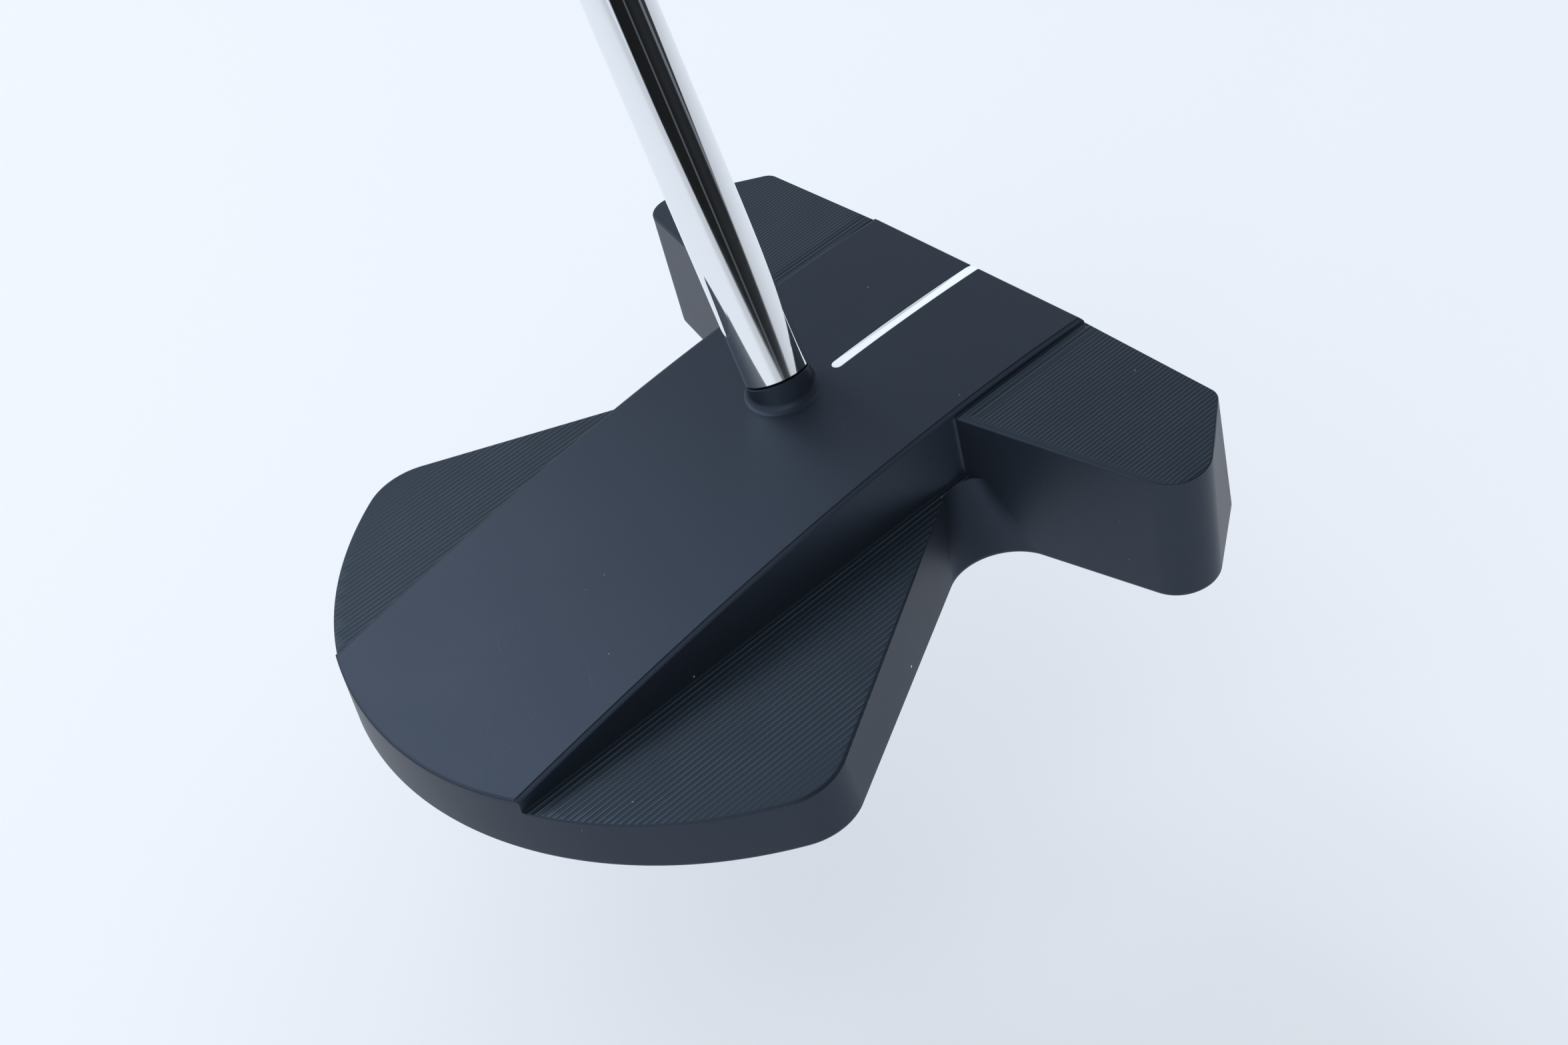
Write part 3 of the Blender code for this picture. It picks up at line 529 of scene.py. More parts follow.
# A stepped round bore: chamfer, wide part for the cap, narrow part for the shank.
def boreTool(x, y, capRadius, shankRadius, shankLength):
    shoulder = soleParts["recess"] + soleParts["capThickness"] + soleParts["washer"] + 2 * soleParts["flat"]
    wide, narrow = capRadius + soleParts["clearance"], shankRadius + soleParts["clearance"]
    end, chamfer, below = shoulder + shankLength + soleParts["boreEnd"], soleParts["chamfer"], -head["over"]
    profile = [(0, below), (wide + chamfer, below), (wide + chamfer, 0.0), (wide, chamfer), (wide, shoulder),
               (narrow, shoulder), (narrow, end), (0, end)]
    return place(lathe("bore_tool", profile), (x, y, 0))


# A plain round hole with a chamfer.
def screwHole(x, y):
    r = soleParts["screwRadius"] + soleParts["clearance"]
    top = soleParts["recess"] + soleParts["screwLength"] + soleParts["screwEnd"]
    chamfer, below = soleParts["chamfer"], -head["over"]
    profile = [(0, below), (r + chamfer, below), (r + chamfer, 0), (r, chamfer), (r, top), (0, top)]
    return place(lathe("screw_hole", profile, 64), (x, y, 0))


insert = {"size": (60.0, 14.0), "thickness": 3.2, "corner": 4.0, "height": 10.9, "bond": 0.3, "fit": 0.1}


# Origin and turn of the face's own frame, at a depth behind it: X to the heel, Y up, Z out.
def faceFrame(depth):
    loftAngle = head["loft"]
    normal = Vector((0, math.cos(loftAngle), math.sin(loftAngle)))
    across = Vector((-1, 0, 0))
    turn = Matrix((across, normal.cross(across), normal)).transposed()
    return Vector((0, faceY(insert["height"]), insert["height"])) - normal * depth, turn


# A rectangle with four round corners, grown evenly.
def plateOutline(grow):
    halfX, halfY = insert["size"][0] / 2 + grow, insert["size"][1] / 2 + grow
    corners = [(halfX, halfY), (-halfX, halfY), (-halfX, -halfY), (halfX, -halfY)]
    radius = insert["corner"] + grow
    rows = [rounded(corners[k - 1], corners[k], corners[(k + 1) % 4], radius, 16) for k in range(4)]
    return np.concatenate(rows)


# The insert's outline, straight back into the face.
def pocketTool():
    deep = insert["thickness"] + insert["bond"] + 0.1
    line = plateOutline(insert["fit"])
    rings = [np.column_stack([line, np.full(len(line), z)]) for z in (0.0, deep + 5)]
    spot, turn = faceFrame(deep)
    return place(loft("pocket_tool", rings), spot, turn)


lineMark = {"half": 0.92, "length": 27.4, "depth": 0.4, "fit": 0.03, "faceDrop": 0.16,
            "paint": ((0.0, 0.35), (0.0, 0.13), (0.06, 0.08), (0.18, 0.06))}  # (inset, drop) up its side


# A straight strip that ends in a half circle.
def lineOutline(inset):
    radius = lineMark["half"] - inset
    end = (0.0, -lineMark["length"] + lineMark["half"])
    return np.concatenate([arc(end, radius, -math.pi, 0, 32), [(radius, 5.0), (-radius, 5.0)]])


# The strip, from its depth under the deck's curve up to the tools' top.
def lineTool():
    line = densify(np.concatenate([lineOutline(0), lineOutline(0)[:1]]), 1.0)[:-1]
    low = np.column_stack([line, deckZ(line[:, 1]) - lineMark["depth"]])
    high = np.column_stack([line, np.full(len(line), head["toolTop"])])
    return loft("line_tool", [low, high])


# The blank less all tools, then joined with the neck.
def buildHead():
    body = headBlank()
    tools = [crownTool()]
    for side in (1, -1):
        tools += [wingTool(side), flangeTool(side)] + headEdges(side)
    tools += rimTool() + [lineTool(), pocketTool()]
    for side in (1, -1):
        tools.append(boreTool(side * soleParts["frontWeight"][0], *soleParts["frontWeight"][1:]))
        tools.append(boreTool(side * soleParts["rearWeight"][0], *soleParts["rearWeight"][1:]))
    tools += [screwHole(x, y) for x, y in soleParts["screws"]]
    cut(body, tools)
    cut(body, [neckTool()], "UNION")
    return softEdges(body, 32)


headPiece = buildHead()
print("head:", len(headPiece.data.polygons), "faces", [round(v, 2) for v in headPiece.dimensions * 1000])


# Where the regular passes begin, in metres: after the groove and the first ridges.
def crestStart(spec):
    return (head["deckHalf"] + spec["groove"][0] + sum(width for width, _ in spec["ridges"])) * mm


# Where the painted highlight lines on the milled crests lie, wing and flange.
paintedGlintLines = {"wing": {"Start": crestStart(wingMill), "Pitch": wingMill["pitch"] * mm},
          "flange": {"Start": crestStart(flangeMill), "Pitch": flangeMill["pitch"] * mm}}


# A colour per face corner: red on wing tops, green on flange tops, blue the strength of the painted
# crest highlights at that place.
def markMilled(thing):
    mesh = thing.data
    count = len(mesh.polygons)
    normal, centre, total = np.empty(count * 3), np.empty(count * 3), np.empty(count, int)
    mesh.polygons.foreach_get("normal", normal)
    mesh.polygons.foreach_get("center", centre)
    mesh.polygons.foreach_get("loop_total", total)
    normal, centre = normal.reshape(-1, 3), centre.reshape(-1, 3) / mm
    x, z = np.abs(centre[:, 0]), centre[:, 2]
    top = (normal[:, 2] > 0.85) & (x > head["deckHalf"] + 0.05)
    wing = top & (z > 16.0)
    flange = top & ~wing & (z > 4.0)
    corner = np.empty(len(mesh.loops), int)
    mesh.loops.foreach_get("vertex_index", corner)
    spot = np.empty(len(mesh.vertices) * 3)
    mesh.vertices.foreach_get("co", spot)
    spot = spot.reshape(-1, 3)[corner] / mm
    across = np.abs(spot[:, 0]) - head["deckHalf"]
    fromWall = spot[:, 1] - wingWallY(np.abs(spot[:, 0]))
    strength = np.where(np.repeat(flange, total), 1 - outerCorner(across, spot[:, 1]),
                        smooth(fromWall, *wingMill["glintFade"]))
    colour = np.ones((len(mesh.loops), 4))
    colour[:, 0], colour[:, 1], colour[:, 2] = np.repeat(wing, total), np.repeat(flange, total), strength
    made = mesh.attributes.new("milled", "FLOAT_COLOR", "CORNER")
    made.data.foreach_set("color", colour.ravel())


markMilled(headPiece)

# Materials: every shared effect is one node group

surface = {
    "chosenOver": 0.72,  # cells above this hold a speck
    "hairStretch": (60.0, 900.0, 200.0), "hairLevel": 0.62, "hairWidth": 0.004, "hairPatch": 38.0,
    # The near, patch and broken values below shape the painted highlight lines on the milled crests.
    "cloud": 45.0, "glintNear": (0.36, 0.5), "glintPatch": 130.0, "glintBroken": (0.25, 0.6, 0.55, 1.0),
    "cloudRange": (0.35, 0.7), "roughRange": (0.3, 0.7), "softRange": (0.3, 0.75),
    "metalBump": 0.00003, "softBump": 0.00008,  # metres
}


# A named input or output of a group.
def socket(group, name, kind, way, value=None):
    made = group.interface.new_socket(name, in_out=way, socket_type="NodeSocket" + kind)
    if value is not None:
        made.default_value = value
    return made


# A shader node with its own settings.
def node(tree, kind, **values):
    made = tree.nodes.new("ShaderNode" + kind)
    for key, value in values.items():
        setattr(made, key, value)
    return made


# Each pair is linked from left to right.
def wire(tree, pairs):
    for source, target in pairs:
        tree.links.new(source, target)


# A smooth noise value at each place.
def noise(tree, place3, scale, detail=3.0, rough=0.5):
    made = node(tree, "TexNoise")
    made.inputs["Scale"].default_value = scale
    made.inputs["Detail"].default_value = detail
    made.inputs["Roughness"].default_value = rough
    tree.links.new(place3, made.inputs["Vector"])
    return made.outputs["Fac"]


# A clamped linear change of range.
def remap(tree, value, low, high, toLow=0.0, toHigh=1.0):
    made = node(tree, "MapRange", clamp=True)
    for key, number in zip(("From Min", "From Max", "To Min", "To Max"), (low, high, toLow, toHigh)):
        made.inputs[key].default_value = number
    tree.links.new(value, made.inputs["Value"])
    return made.outputs["Result"]


# One operation on two numbers or sockets.
def maths(tree, operation, a, b):
    made = node(tree, "Math", operation=operation)
    for k, value in enumerate((a, b)):
        if isinstance(value, (int, float)):
            made.inputs[k].default_value = value
        else:
            tree.links.new(value, made.inputs[k])
    return made.outputs[0]


# Colours or sockets mixed by a share.
def mixColour(tree, share, a, b):
    made = node(tree, "Mix", data_type="RGBA")
    for socketName, value in (("A", a), ("B", b)):
        target = [s for s in made.inputs if s.name == socketName and s.type == "RGBA"][0]
        if isinstance(value, tuple):
            target.default_value = (*value, 1.0)
        else:
            tree.links.new(value, target)
    if isinstance(share, (int, float)):
        made.inputs["Factor"].default_value = share
    else:
        tree.links.new(share, made.inputs["Factor"])
    return [s for s in made.outputs if s.type == "RGBA"][0]


# A group's own input and output nodes, and Object coordinates.
def groupEnds(group):
    return group.nodes.new("NodeGroupInput"), group.nodes.new("NodeGroupOutput"), node(group, "TexCoord")


# Dust: a few bright points per area, where the distance to a scattered cell point is under a small
# radius.
def specksGroup():
    group = bpy.data.node_groups.new("dustSpecks", "ShaderNodeTree")
    socket(group, "Spacing", "Float", "INPUT", 240.0)
    socket(group, "Reach", "Float", "INPUT", 0.05)
    socket(group, "Mask", "Float", "OUTPUT")
    inn, outs, where = groupEnds(group)
    cells = node(group, "TexVoronoi", feature="F1")
    wire(group, [(where.outputs["Object"], cells.inputs["Vector"]),
                 (inn.outputs["Spacing"], cells.inputs["Scale"])])
    pick = node(group, "SeparateColor")
    wire(group, [(cells.outputs["Color"], pick.inputs["Color"])])
    chosen = maths(group, "GREATER_THAN", pick.outputs["Red"], surface["chosenOver"])
    radius = maths(group, "MULTIPLY", inn.outputs["Reach"], pick.outputs["Green"])
    near = maths(group, "LESS_THAN", cells.outputs["Distance"], radius)
    wire(group, [(maths(group, "MULTIPLY", chosen, near), outs.inputs["Mask"])])
    return group


# Hairline scratches: thin level lines of a stretched noise, kept only where a broad patch allows them.
def scratchGroup():
    group = bpy.data.node_groups.new("hairScratches", "ShaderNodeTree")
    socket(group, "Turn", "Float", "INPUT", 0.5)
    socket(group, "Patch", "Float", "INPUT", 0.6)
    socket(group, "Mask", "Float", "OUTPUT")
    inn, outs, where = groupEnds(group)
    spin = node(group, "VectorRotate", rotation_type="Z_AXIS")
    wire(group, [(where.outputs["Object"], spin.inputs["Vector"]), (inn.outputs["Turn"], spin.inputs["Angle"])])
    stretch = node(group, "VectorMath", operation="MULTIPLY")
    stretch.inputs[1].default_value = surface["hairStretch"]
    wire(group, [(spin.outputs[0], stretch.inputs[0])])
    line = noise(group, stretch.outputs[0], 1.0, 1.0)
    away = maths(group, "ABSOLUTE", maths(group, "SUBTRACT", line, surface["hairLevel"]), 0.0)
    thin = remap(group, away, 0.0, surface["hairWidth"], 1.0, 0.0)
    broad = noise(group, where.outputs["Object"], surface["hairPatch"], 2.0)
    keep = maths(group, "GREATER_THAN", broad, inn.outputs["Patch"])
    wire(group, [(maths(group, "MULTIPLY", thin, keep), outs.inputs["Mask"])])
    return group


# Blasted or moulded grain: fine noise as a height, and a slow cloud for colour.
def grainGroup():
    group = bpy.data.node_groups.new("surfaceGrain", "ShaderNodeTree")
    socket(group, "Fineness", "Float", "INPUT", 9000.0)
    socket(group, "Height", "Float", "OUTPUT")
    socket(group, "Cloud", "Float", "OUTPUT")
    inn, outs, where = groupEnds(group)
    fine = node(group, "TexNoise")
    fine.inputs["Detail"].default_value = 2.0
    wire(group, [(where.outputs["Object"], fine.inputs["Vector"]),
                 (inn.outputs["Fineness"], fine.inputs["Scale"])])
    cloud = noise(group, where.outputs["Object"], surface["cloud"], 4.0)
    wire(group, [(fine.outputs["Fac"], outs.inputs["Height"]), (cloud, outs.inputs["Cloud"])])
    return group


# Painted highlight on the crests of the milled passes: how near fract((|x| - start) / pitch) is to a whole
# number.
def paintedGlintGroup():
    group = bpy.data.node_groups.new("paintedCrestGlints", "ShaderNodeTree")
    socket(group, "Start", "Float", "INPUT", 0.025)
    socket(group, "Pitch", "Float", "INPUT", 0.00064)
    socket(group, "Mask", "Float", "OUTPUT")
    inn, outs, where = groupEnds(group)
    parts = node(group, "SeparateXYZ")
    wire(group, [(where.outputs["Object"], parts.inputs["Vector"])])
    across = maths(group, "SUBTRACT", maths(group, "ABSOLUTE", parts.outputs["X"], 0.0), inn.outputs["Start"])
    share = maths(group, "FRACT", maths(group, "DIVIDE", across, inn.outputs["Pitch"]), 0.0)
    near = maths(group, "ABSOLUTE", maths(group, "SUBTRACT", share, 0.5), 0.0)
    line = remap(group, near, *surface["glintNear"])
    patches = noise(group, where.outputs["Object"], surface["glintPatch"], 3.0)
    broken = remap(group, patches, *surface["glintBroken"])
    wire(group, [(maths(group, "MULTIPLY", line, broken), outs.inputs["Mask"])])
    return group


# The crest group paints highlight lines on the milled crests.
groups = {"dust": specksGroup(), "scratch": scratchGroup(), "grain": grainGroup(), "paintedGlint": paintedGlintGroup()}


# A shared effect, placed in a material with its own values.
def useGroup(tree, name, **values):
    made = tree.nodes.new("ShaderNodeGroup")
    made.node_tree = groups[name]
    for key, value in values.items():
        made.inputs[key].default_value = value
    return made


# A material and its Principled shader with the values that don't vary.
def newMaterial(name, metallic, specular=0.5, coat=0.0):
    material = bpy.data.materials.new(name)
    material.use_nodes = True
    tree = material.node_tree
    shader = tree.nodes["Principled BSDF"]
    shader.inputs["Metallic"].default_value = metallic
    shader.inputs["Specular IOR Level"].default_value = specular
    shader.inputs["Coat Weight"].default_value = coat
    return material, tree, shader


# A height that bends the shader's normal.
def bump(tree, shader, height, strength, distance):
    made = node(tree, "Bump")
    made.inputs["Strength"].default_value = strength
    made.inputs["Distance"].default_value = distance
    wire(tree, [(height, made.inputs["Height"]), (made.outputs["Normal"], shader.inputs["Normal"])])


# The crest colour and its share are a painted highlight: lighter lines along the milled crests.
anodised = {"dark": (0.0250, 0.0335, 0.0495), "light": (0.0295, 0.0400, 0.0580),
            "milled": (0.0270, 0.0395, 0.0550), "paintedGlint": (0.115, 0.140, 0.175),
            "scratch": (0.10, 0.115, 0.15), "dust": (0.5, 0.52, 0.53), "roughness": (0.43, 0.47),
            "metallic": 0.72, "cloudShare": 0.45, "grainShare": 0.55, "glintShare": 0.7,
            "scratchShare": 0.16, "fleckShare": 0.4, "bump": 0.18, "dustAt": ((130.0, 0.045), (340.0, 0.05)),
            "scratchAt": ((0.5, 0.62), (1.9, 0.64))}


# Satin dyed aluminium: faint clouds, blasted grain, darker milled tops with a painted highlight on their
# crests, scratches, dust.
def anodisedMaterial():
    material, tree, shader = newMaterial("darkAnodised", anodised["metallic"], 0.5)
    grain = useGroup(tree, "grain", Fineness=11000.0)
    dust, fleck = (useGroup(tree, "dust", Spacing=gap, Reach=reach) for gap, reach in anodised["dustAt"])
    first, second = (useGroup(tree, "scratch", Turn=turn, Patch=patch) for turn, patch in anodised["scratchAt"])
    # Masks of the painted highlight lines on the wing and flange crests.
    wing, flange = useGroup(tree, "paintedGlint", **paintedGlintLines["wing"]), useGroup(tree, "paintedGlint", **paintedGlintLines["flange"])
    marks = node(tree, "Attribute", attribute_name="milled")
    split = node(tree, "SeparateColor")
    wire(tree, [(marks.outputs["Color"], split.inputs["Color"])])
    top = maths(tree, "MAXIMUM", split.outputs["Red"], split.outputs["Green"])
    # Painted highlight mask: the crest lines, kept on milled tops and scaled by their strength.
    lines = maths(tree, "MAXIMUM", maths(tree, "MULTIPLY", wing.outputs["Mask"], split.outputs["Red"]),
                  maths(tree, "MULTIPLY", flange.outputs["Mask"], split.outputs["Green"]))
    lines = maths(tree, "MULTIPLY", lines, split.outputs["Blue"])
    cloud = remap(tree, grain.outputs["Cloud"], *surface["cloudRange"])
    fine = remap(tree, grain.outputs["Height"], *surface["roughRange"])
    tone = maths(tree, "ADD", maths(tree, "MULTIPLY", cloud, anodised["cloudShare"]),
                 maths(tree, "MULTIPLY", fine, anodised["grainShare"]))
    base = mixColour(tree, tone, anodised["dark"], anodised["light"])
    base = mixColour(tree, top, base, anodised["milled"])
    # Painted highlight: a lighter colour laid along the milled crests.
    base = mixColour(tree, maths(tree, "MULTIPLY", lines, anodised["glintShare"]), base, anodised["paintedGlint"])
    both = maths(tree, "MAXIMUM", first.outputs["Mask"], second.outputs["Mask"])
    scratch = maths(tree, "MULTIPLY", both, anodised["scratchShare"])
    worn = mixColour(tree, scratch, base, anodised["scratch"])
    faint = maths(tree, "MULTIPLY", fleck.outputs["Mask"], anodised["fleckShare"])
    specks = maths(tree, "MAXIMUM", dust.outputs["Mask"], faint)
    wire(tree, [(mixColour(tree, specks, worn, anodised["dust"]), shader.inputs["Base Color"])])
    rough = remap(tree, grain.outputs["Cloud"], *surface["roughRange"], *anodised["roughness"])
    wire(tree, [(rough, shader.inputs["Roughness"])])
    bump(tree, shader, grain.outputs["Height"], anodised["bump"], surface["metalBump"])
    return material


# Plain metal: two close tones in slow clouds, fine finish marks and a few specks.
def metalMaterial(name, light, dark, roughness, fineness=6000.0, strength=0.1):
    material, tree, shader = newMaterial(name, 1.0)
    grain, dust = useGroup(tree, "grain", Fineness=fineness), useGroup(tree, "dust", Spacing=300.0, Reach=0.02)
    base = mixColour(tree, remap(tree, grain.outputs["Cloud"], *surface["cloudRange"]), light, dark)
    wire(tree, [(mixColour(tree, dust.outputs["Mask"], base, (0.6, 0.6, 0.6)), shader.inputs["Base Color"])])
    rough = remap(tree, grain.outputs["Cloud"], *surface["roughRange"], *roughness)
    wire(tree, [(rough, shader.inputs["Roughness"])])
    bump(tree, shader, grain.outputs["Height"], strength, surface["metalBump"])
    return material


# Bright chrome: nearly even, with very fine clouds in its roughness.
def chromeMaterial():
    material, tree, shader = newMaterial("brightChrome", 1.0)
    grain, dust = useGroup(tree, "grain", Fineness=500.0), useGroup(tree, "dust", Spacing=260.0, Reach=0.02)
    base = mixColour(tree, grain.outputs["Cloud"], (0.80, 0.815, 0.83), (0.86, 0.87, 0.885))
    wire(tree, [(mixColour(tree, dust.outputs["Mask"], base, (0.45, 0.45, 0.45)), shader.inputs["Base Color"])])
    rough = remap(tree, grain.outputs["Cloud"], *surface["roughRange"], 0.03, 0.07)
    wire(tree, [(rough, shader.inputs["Roughness"])])
    return material


# Paint, rubber, foam, nylon or tape: two tones in clouds, with grain of its own size.
def softMaterial(name, light, dark, roughness, fineness, strength, specular=0.4):
    material, tree, shader = newMaterial(name, 0.0, specular)
    grain = useGroup(tree, "grain", Fineness=fineness)
    tone = remap(tree, grain.outputs["Cloud"], *surface["softRange"])
    wire(tree, [(mixColour(tree, tone, light, dark), shader.inputs["Base Color"])])
    rough = remap(tree, grain.outputs["Cloud"], *surface["roughRange"], *roughness)
    wire(tree, [(rough, shader.inputs["Roughness"])])
    bump(tree, shader, grain.outputs["Height"], strength, surface["softBump"])
    return material


finish = {
    "head": anodisedMaterial(),
    "line": softMaterial("lineWhite", (0.93, 0.95, 0.96), (0.86, 0.89, 0.91), (0.35, 0.5), 5000.0, 0.08),
    "insert": metalMaterial("insertSteel", (0.50, 0.50, 0.505), (0.42, 0.42, 0.43), (0.28, 0.36)),
    "bond": softMaterial("bondResin", (0.62, 0.56, 0.40), (0.5, 0.45, 0.32), (0.4, 0.6), 2500.0, 0.2),
    "weight": metalMaterial("weightSteel", (0.58, 0.59, 0.6), (0.5, 0.51, 0.52), (0.22, 0.32)),
    "washer": softMaterial("washerNylon", (0.76, 0.75, 0.71), (0.68, 0.67, 0.63), (0.45, 0.6), 3000.0, 0.1),
    "screw": metalMaterial("screwSteel", (0.40, 0.40, 0.41), (0.33, 0.33, 0.34), (0.3, 0.42)),
    "shaft": chromeMaterial(),
    "foam": softMaterial("foam", (0.10, 0.10, 0.11), (0.06, 0.06, 0.065), (0.85, 0.95), 1400.0, 0.6, 0.1),
    "tape": softMaterial("gripTape", (0.80, 0.77, 0.68), (0.72, 0.69, 0.6), (0.6, 0.75), 1800.0, 0.2),
    "grip": softMaterial("gripRubber", (0.022, 0.023, 0.026), (0.014, 0.015, 0.017), (0.55, 0.72), 2600.0,
                         0.45, 0.35),
}


# A new piece gets its finish, rides on its body and stands for its CAD nodes.
def show(piece, body, slotName, *nodes):
    piece.data.materials.clear()
    piece.data.materials.append(finish[slotName])
    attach(piece, body)
    if nodes:
        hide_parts(*nodes)
    return piece


show(headPiece, "putter", "head", "head_body")
print("materials:", len(bpy.data.materials), "head dressed")

# Shaft: smooth tube with its butt steps

# (radius, height) up the stepped tube; each step is a short cone.
def shaftOutline():
    bevel, (coneEnd, coneTop) = shaft["footBevel"], shaft["stepCone"]
    rows = [(shaft["tipRadius"] - bevel, shaft["gap"]), (shaft["tipRadius"], shaft["gap"] + bevel),
            (shaft["lowRadius"], shaft["lowLength"])]
    rise = (shaft["buttRadius"] - shaft["lowRadius"]) / shaft["steps"]
    for k in range(shaft["steps"]):
        radius, start = shaft["lowRadius"] + rise * (k + 1), shaft["lowLength"] + k * shaft["stepLength"]
        rows += [(radius - shaft["stepDrop"], start + coneEnd), (radius, start + coneTop),
                 (radius, start + shaft["stepLength"])]
    return rows + [(shaft["buttRadius"], shaftLength)]


# The outline outside and the same less the wall inside, turned about the axis.
def tubePiece():
    outer = shaftOutline()
    inner = [(radius - shaft["wall"], height) for radius, height in outer]
    inner[0] = (shaft["tipRadius"] - shaft["wall"], shaft["gap"])
    made = lathe("shaft_chrome", outer + inner[::-1], shaft["sides"])
    softEdges(made, 20)
    return onAxis(made)


show(tubePiece(), "putter", "shaft", "shaft")
for name, slotName in (("shaft_epoxy", "bond"), ("face_insert_bond", "bond"), ("shaft_rattle_plug", "foam"),
                       ("grip_core", "foam"), ("grip_tape", "tape")):
    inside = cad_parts[name]
    inside.data.materials.clear()
    inside.data.materials.append(finish[slotName])
print("shaft done")

# Alignment line: paint lying in its groove, a little sunk at the edges

# The groove's outline, a little smaller, in four rings that close in towards the top.
def paintPiece():
    half, outline = lineMark["half"] - lineMark["fit"], lineOutline(lineMark["fit"])
    line = densify(np.concatenate([outline[:-2], [(half, 0.0), (-half, 0.0)], outline[:1]]), 0.8)[:-1]
    rings = []
    for inset, drop in lineMark["paint"]:
        moved = line * [1 - inset / half, 1.0]
        moved[:, 1] += np.where(line[:, 1] < -lineMark["length"] + lineMark["half"], inset * 0.7, 0.0)
        moved[:, 1] = np.minimum(moved[:, 1], 0.0)
        top = deckZ(moved[:, 1]) - drop - lineMark["faceDrop"] * smooth(moved[:, 1], -0.4, 0.0)
        rings.append(np.column_stack([moved, top]))
    return loft("line_paint", rings)


show(softEdges(paintPiece(), 50), "putter", "line", "alignment_line_paint")

# Face insert: milled plate with a bevelled rim

plateMill = {"pitch": 0.9, "depth": 0.03, "bevel": 0.25, "shy": 0.02, "samples": 8}


# The outline in three rings, less a scalloped top: depth * (1 - (2u - 1)^2) for each pass.
def insertPiece():
    low, shy, bevel = insert["thickness"], plateMill["shy"], plateMill["bevel"]
    levels = ((shy, 0.0), (shy, low - bevel), (shy + bevel, low))
    rings = [np.column_stack([plateOutline(-inset), np.full(len(plateOutline(0)), z)]) for inset, z in levels]
    body = loft("insert_plate", rings)
    count = int(insert["size"][1] / plateMill["pitch"])
    share = np.linspace(0, 1, count * plateMill["samples"] + 1)
    y = (share - 0.5) * count * plateMill["pitch"]
    drop = plateMill["depth"] * (1 - (2 * ((share * count) % 1.0) - 1) ** 2)
    x = np.linspace(-31, 31, 3)
    xx, yy = np.meshgrid(x, y)
    cut(body, [above("mill_tool", xx, yy, low - np.repeat(drop[:, None], 3, axis=1), low + 2)])
    spot, turn = faceFrame(insert["thickness"])
    return softEdges(place(body, spot, turn), 30)


show(insertPiece(), "putter", "insert", "face_insert")
print("line and insert done")

# Weights, washers and small screws

# Six-sided rings: a chamfer at the mouth and a cone at the bottom.
def hexTool(across, depth):
    radius = across / math.sqrt(3)
    turn = np.arange(6) * np.pi / 3
    rings = []
    for scale, z in ((1.06, -2.0), (1.06, 0.0), (1.0, 0.06), (1.0, depth), (0.35, depth + 0.5)):
        ring = radius * scale * np.cos(turn), radius * scale * np.sin(turn), np.full(6, z)
        rings.append(np.column_stack(ring))
    return loft("hex_tool", rings)


# A helical thread: radius = r - depth * |2u - 1| for u the fraction of the pitch at each angle and
# height.
def threadedShank(radius, low, high, name):
    steps, pitch, depth = 48, soleParts["threadPitch"], soleParts["threadDepth"]
    z = np.linspace(low, high, int((high - low) / pitch * 10) + 1)
    turn = np.arange(steps) * 2 * np.pi / steps
    zz, tt = np.meshgrid(z, turn, indexing="ij")
    phase = (zz / pitch + tt / (2 * np.pi)) % 1.0
    fade = smooth(zz, low, low + 0.6) * smooth(-zz, -high, -high + 0.8)
    r = radius - depth * (np.abs(2 * phase - 1) * fade + (1 - fade))
    return loft(name, np.stack([r * np.cos(tt), r * np.sin(tt), zz], axis=-1))


weightCap = {"ringIn": (0.62, 0.74), "ringFloor": (0.66, 0.7), "ringDepth": 0.12, "edge": 0.4, "crown": 0.12,
             "back": 0.2, "core": 0.35, "threadFrom": 0.5, "past": 0.6, "join": 1.0}


# A capped screw turned from its profile, with a thread joined on and a hexagonal socket.
def weightPiece(name, spec, side):
    x, y, capRadius, shankRadius, shankLength = spec
    look, low = weightCap, soleParts["capThickness"]
    (ringStart, ringEnd), (floorStart, floorEnd) = look["ringIn"], look["ringFloor"]
    edge, crown, core, join = look["edge"], look["crown"], shankRadius - look["core"], low + look["join"]
    top = low + look["past"] + shankLength
    profile = [(0, 0), (capRadius * ringStart, 0), (capRadius * floorStart, look["ringDepth"]),
               (capRadius * floorEnd, look["ringDepth"]), (capRadius * ringEnd, 0),
               (capRadius - edge, 0), (capRadius - crown, crown), (capRadius, edge),
               (capRadius, low - look["back"]), (capRadius - look["back"], low),
               (core, low), (core, join), (0, join)]
    body = lathe(name + "_screw", profile)
    cut(body, [threadedShank(shankRadius, low + look["threadFrom"], top, "thread")], "UNION")
    cut(body, [hexTool(soleParts["weightSocket"], soleParts["socketDepth"])])
    place(softEdges(body, 32), (side * x, y, soleParts["recess"]))
    return body


# A flat ring with bevelled edges, turned from its profile.
def washerPiece(name, spec, side):
    x, y, capRadius, shankRadius, _ = spec
    low = soleParts["recess"] + soleParts["capThickness"] + soleParts["flat"]
    inner, outer = shankRadius + soleParts["clearance"], capRadius - soleParts["washerShy"]
    high = low + soleParts["washer"]
    bevel, rim = soleParts["washerBevel"], soleParts["washerRim"]
    profile = [(inner, low + bevel), (inner + bevel, low), (outer - rim, low), (outer, low + rim),
               (outer, high - rim), (outer - rim, high), (inner + bevel, high), (inner, high - bevel)]
    return place(softEdges(lathe(name + "_ring", profile), 50), (side * x, y, 0))


for name, spec, side in (("toe", "frontWeight", 1), ("heel", "frontWeight", -1),
                         ("toe_rear", "rearWeight", 1), ("heel_rear", "rearWeight", -1)):
    numbers = soleParts[spec]
    show(weightPiece(name + "_weight", numbers, side), name + "_screw_weight", "weight", name + "_weight")
    show(washerPiece(name + "_washer", numbers, side), name + "_washer", "washer", name + "_weight_washer")


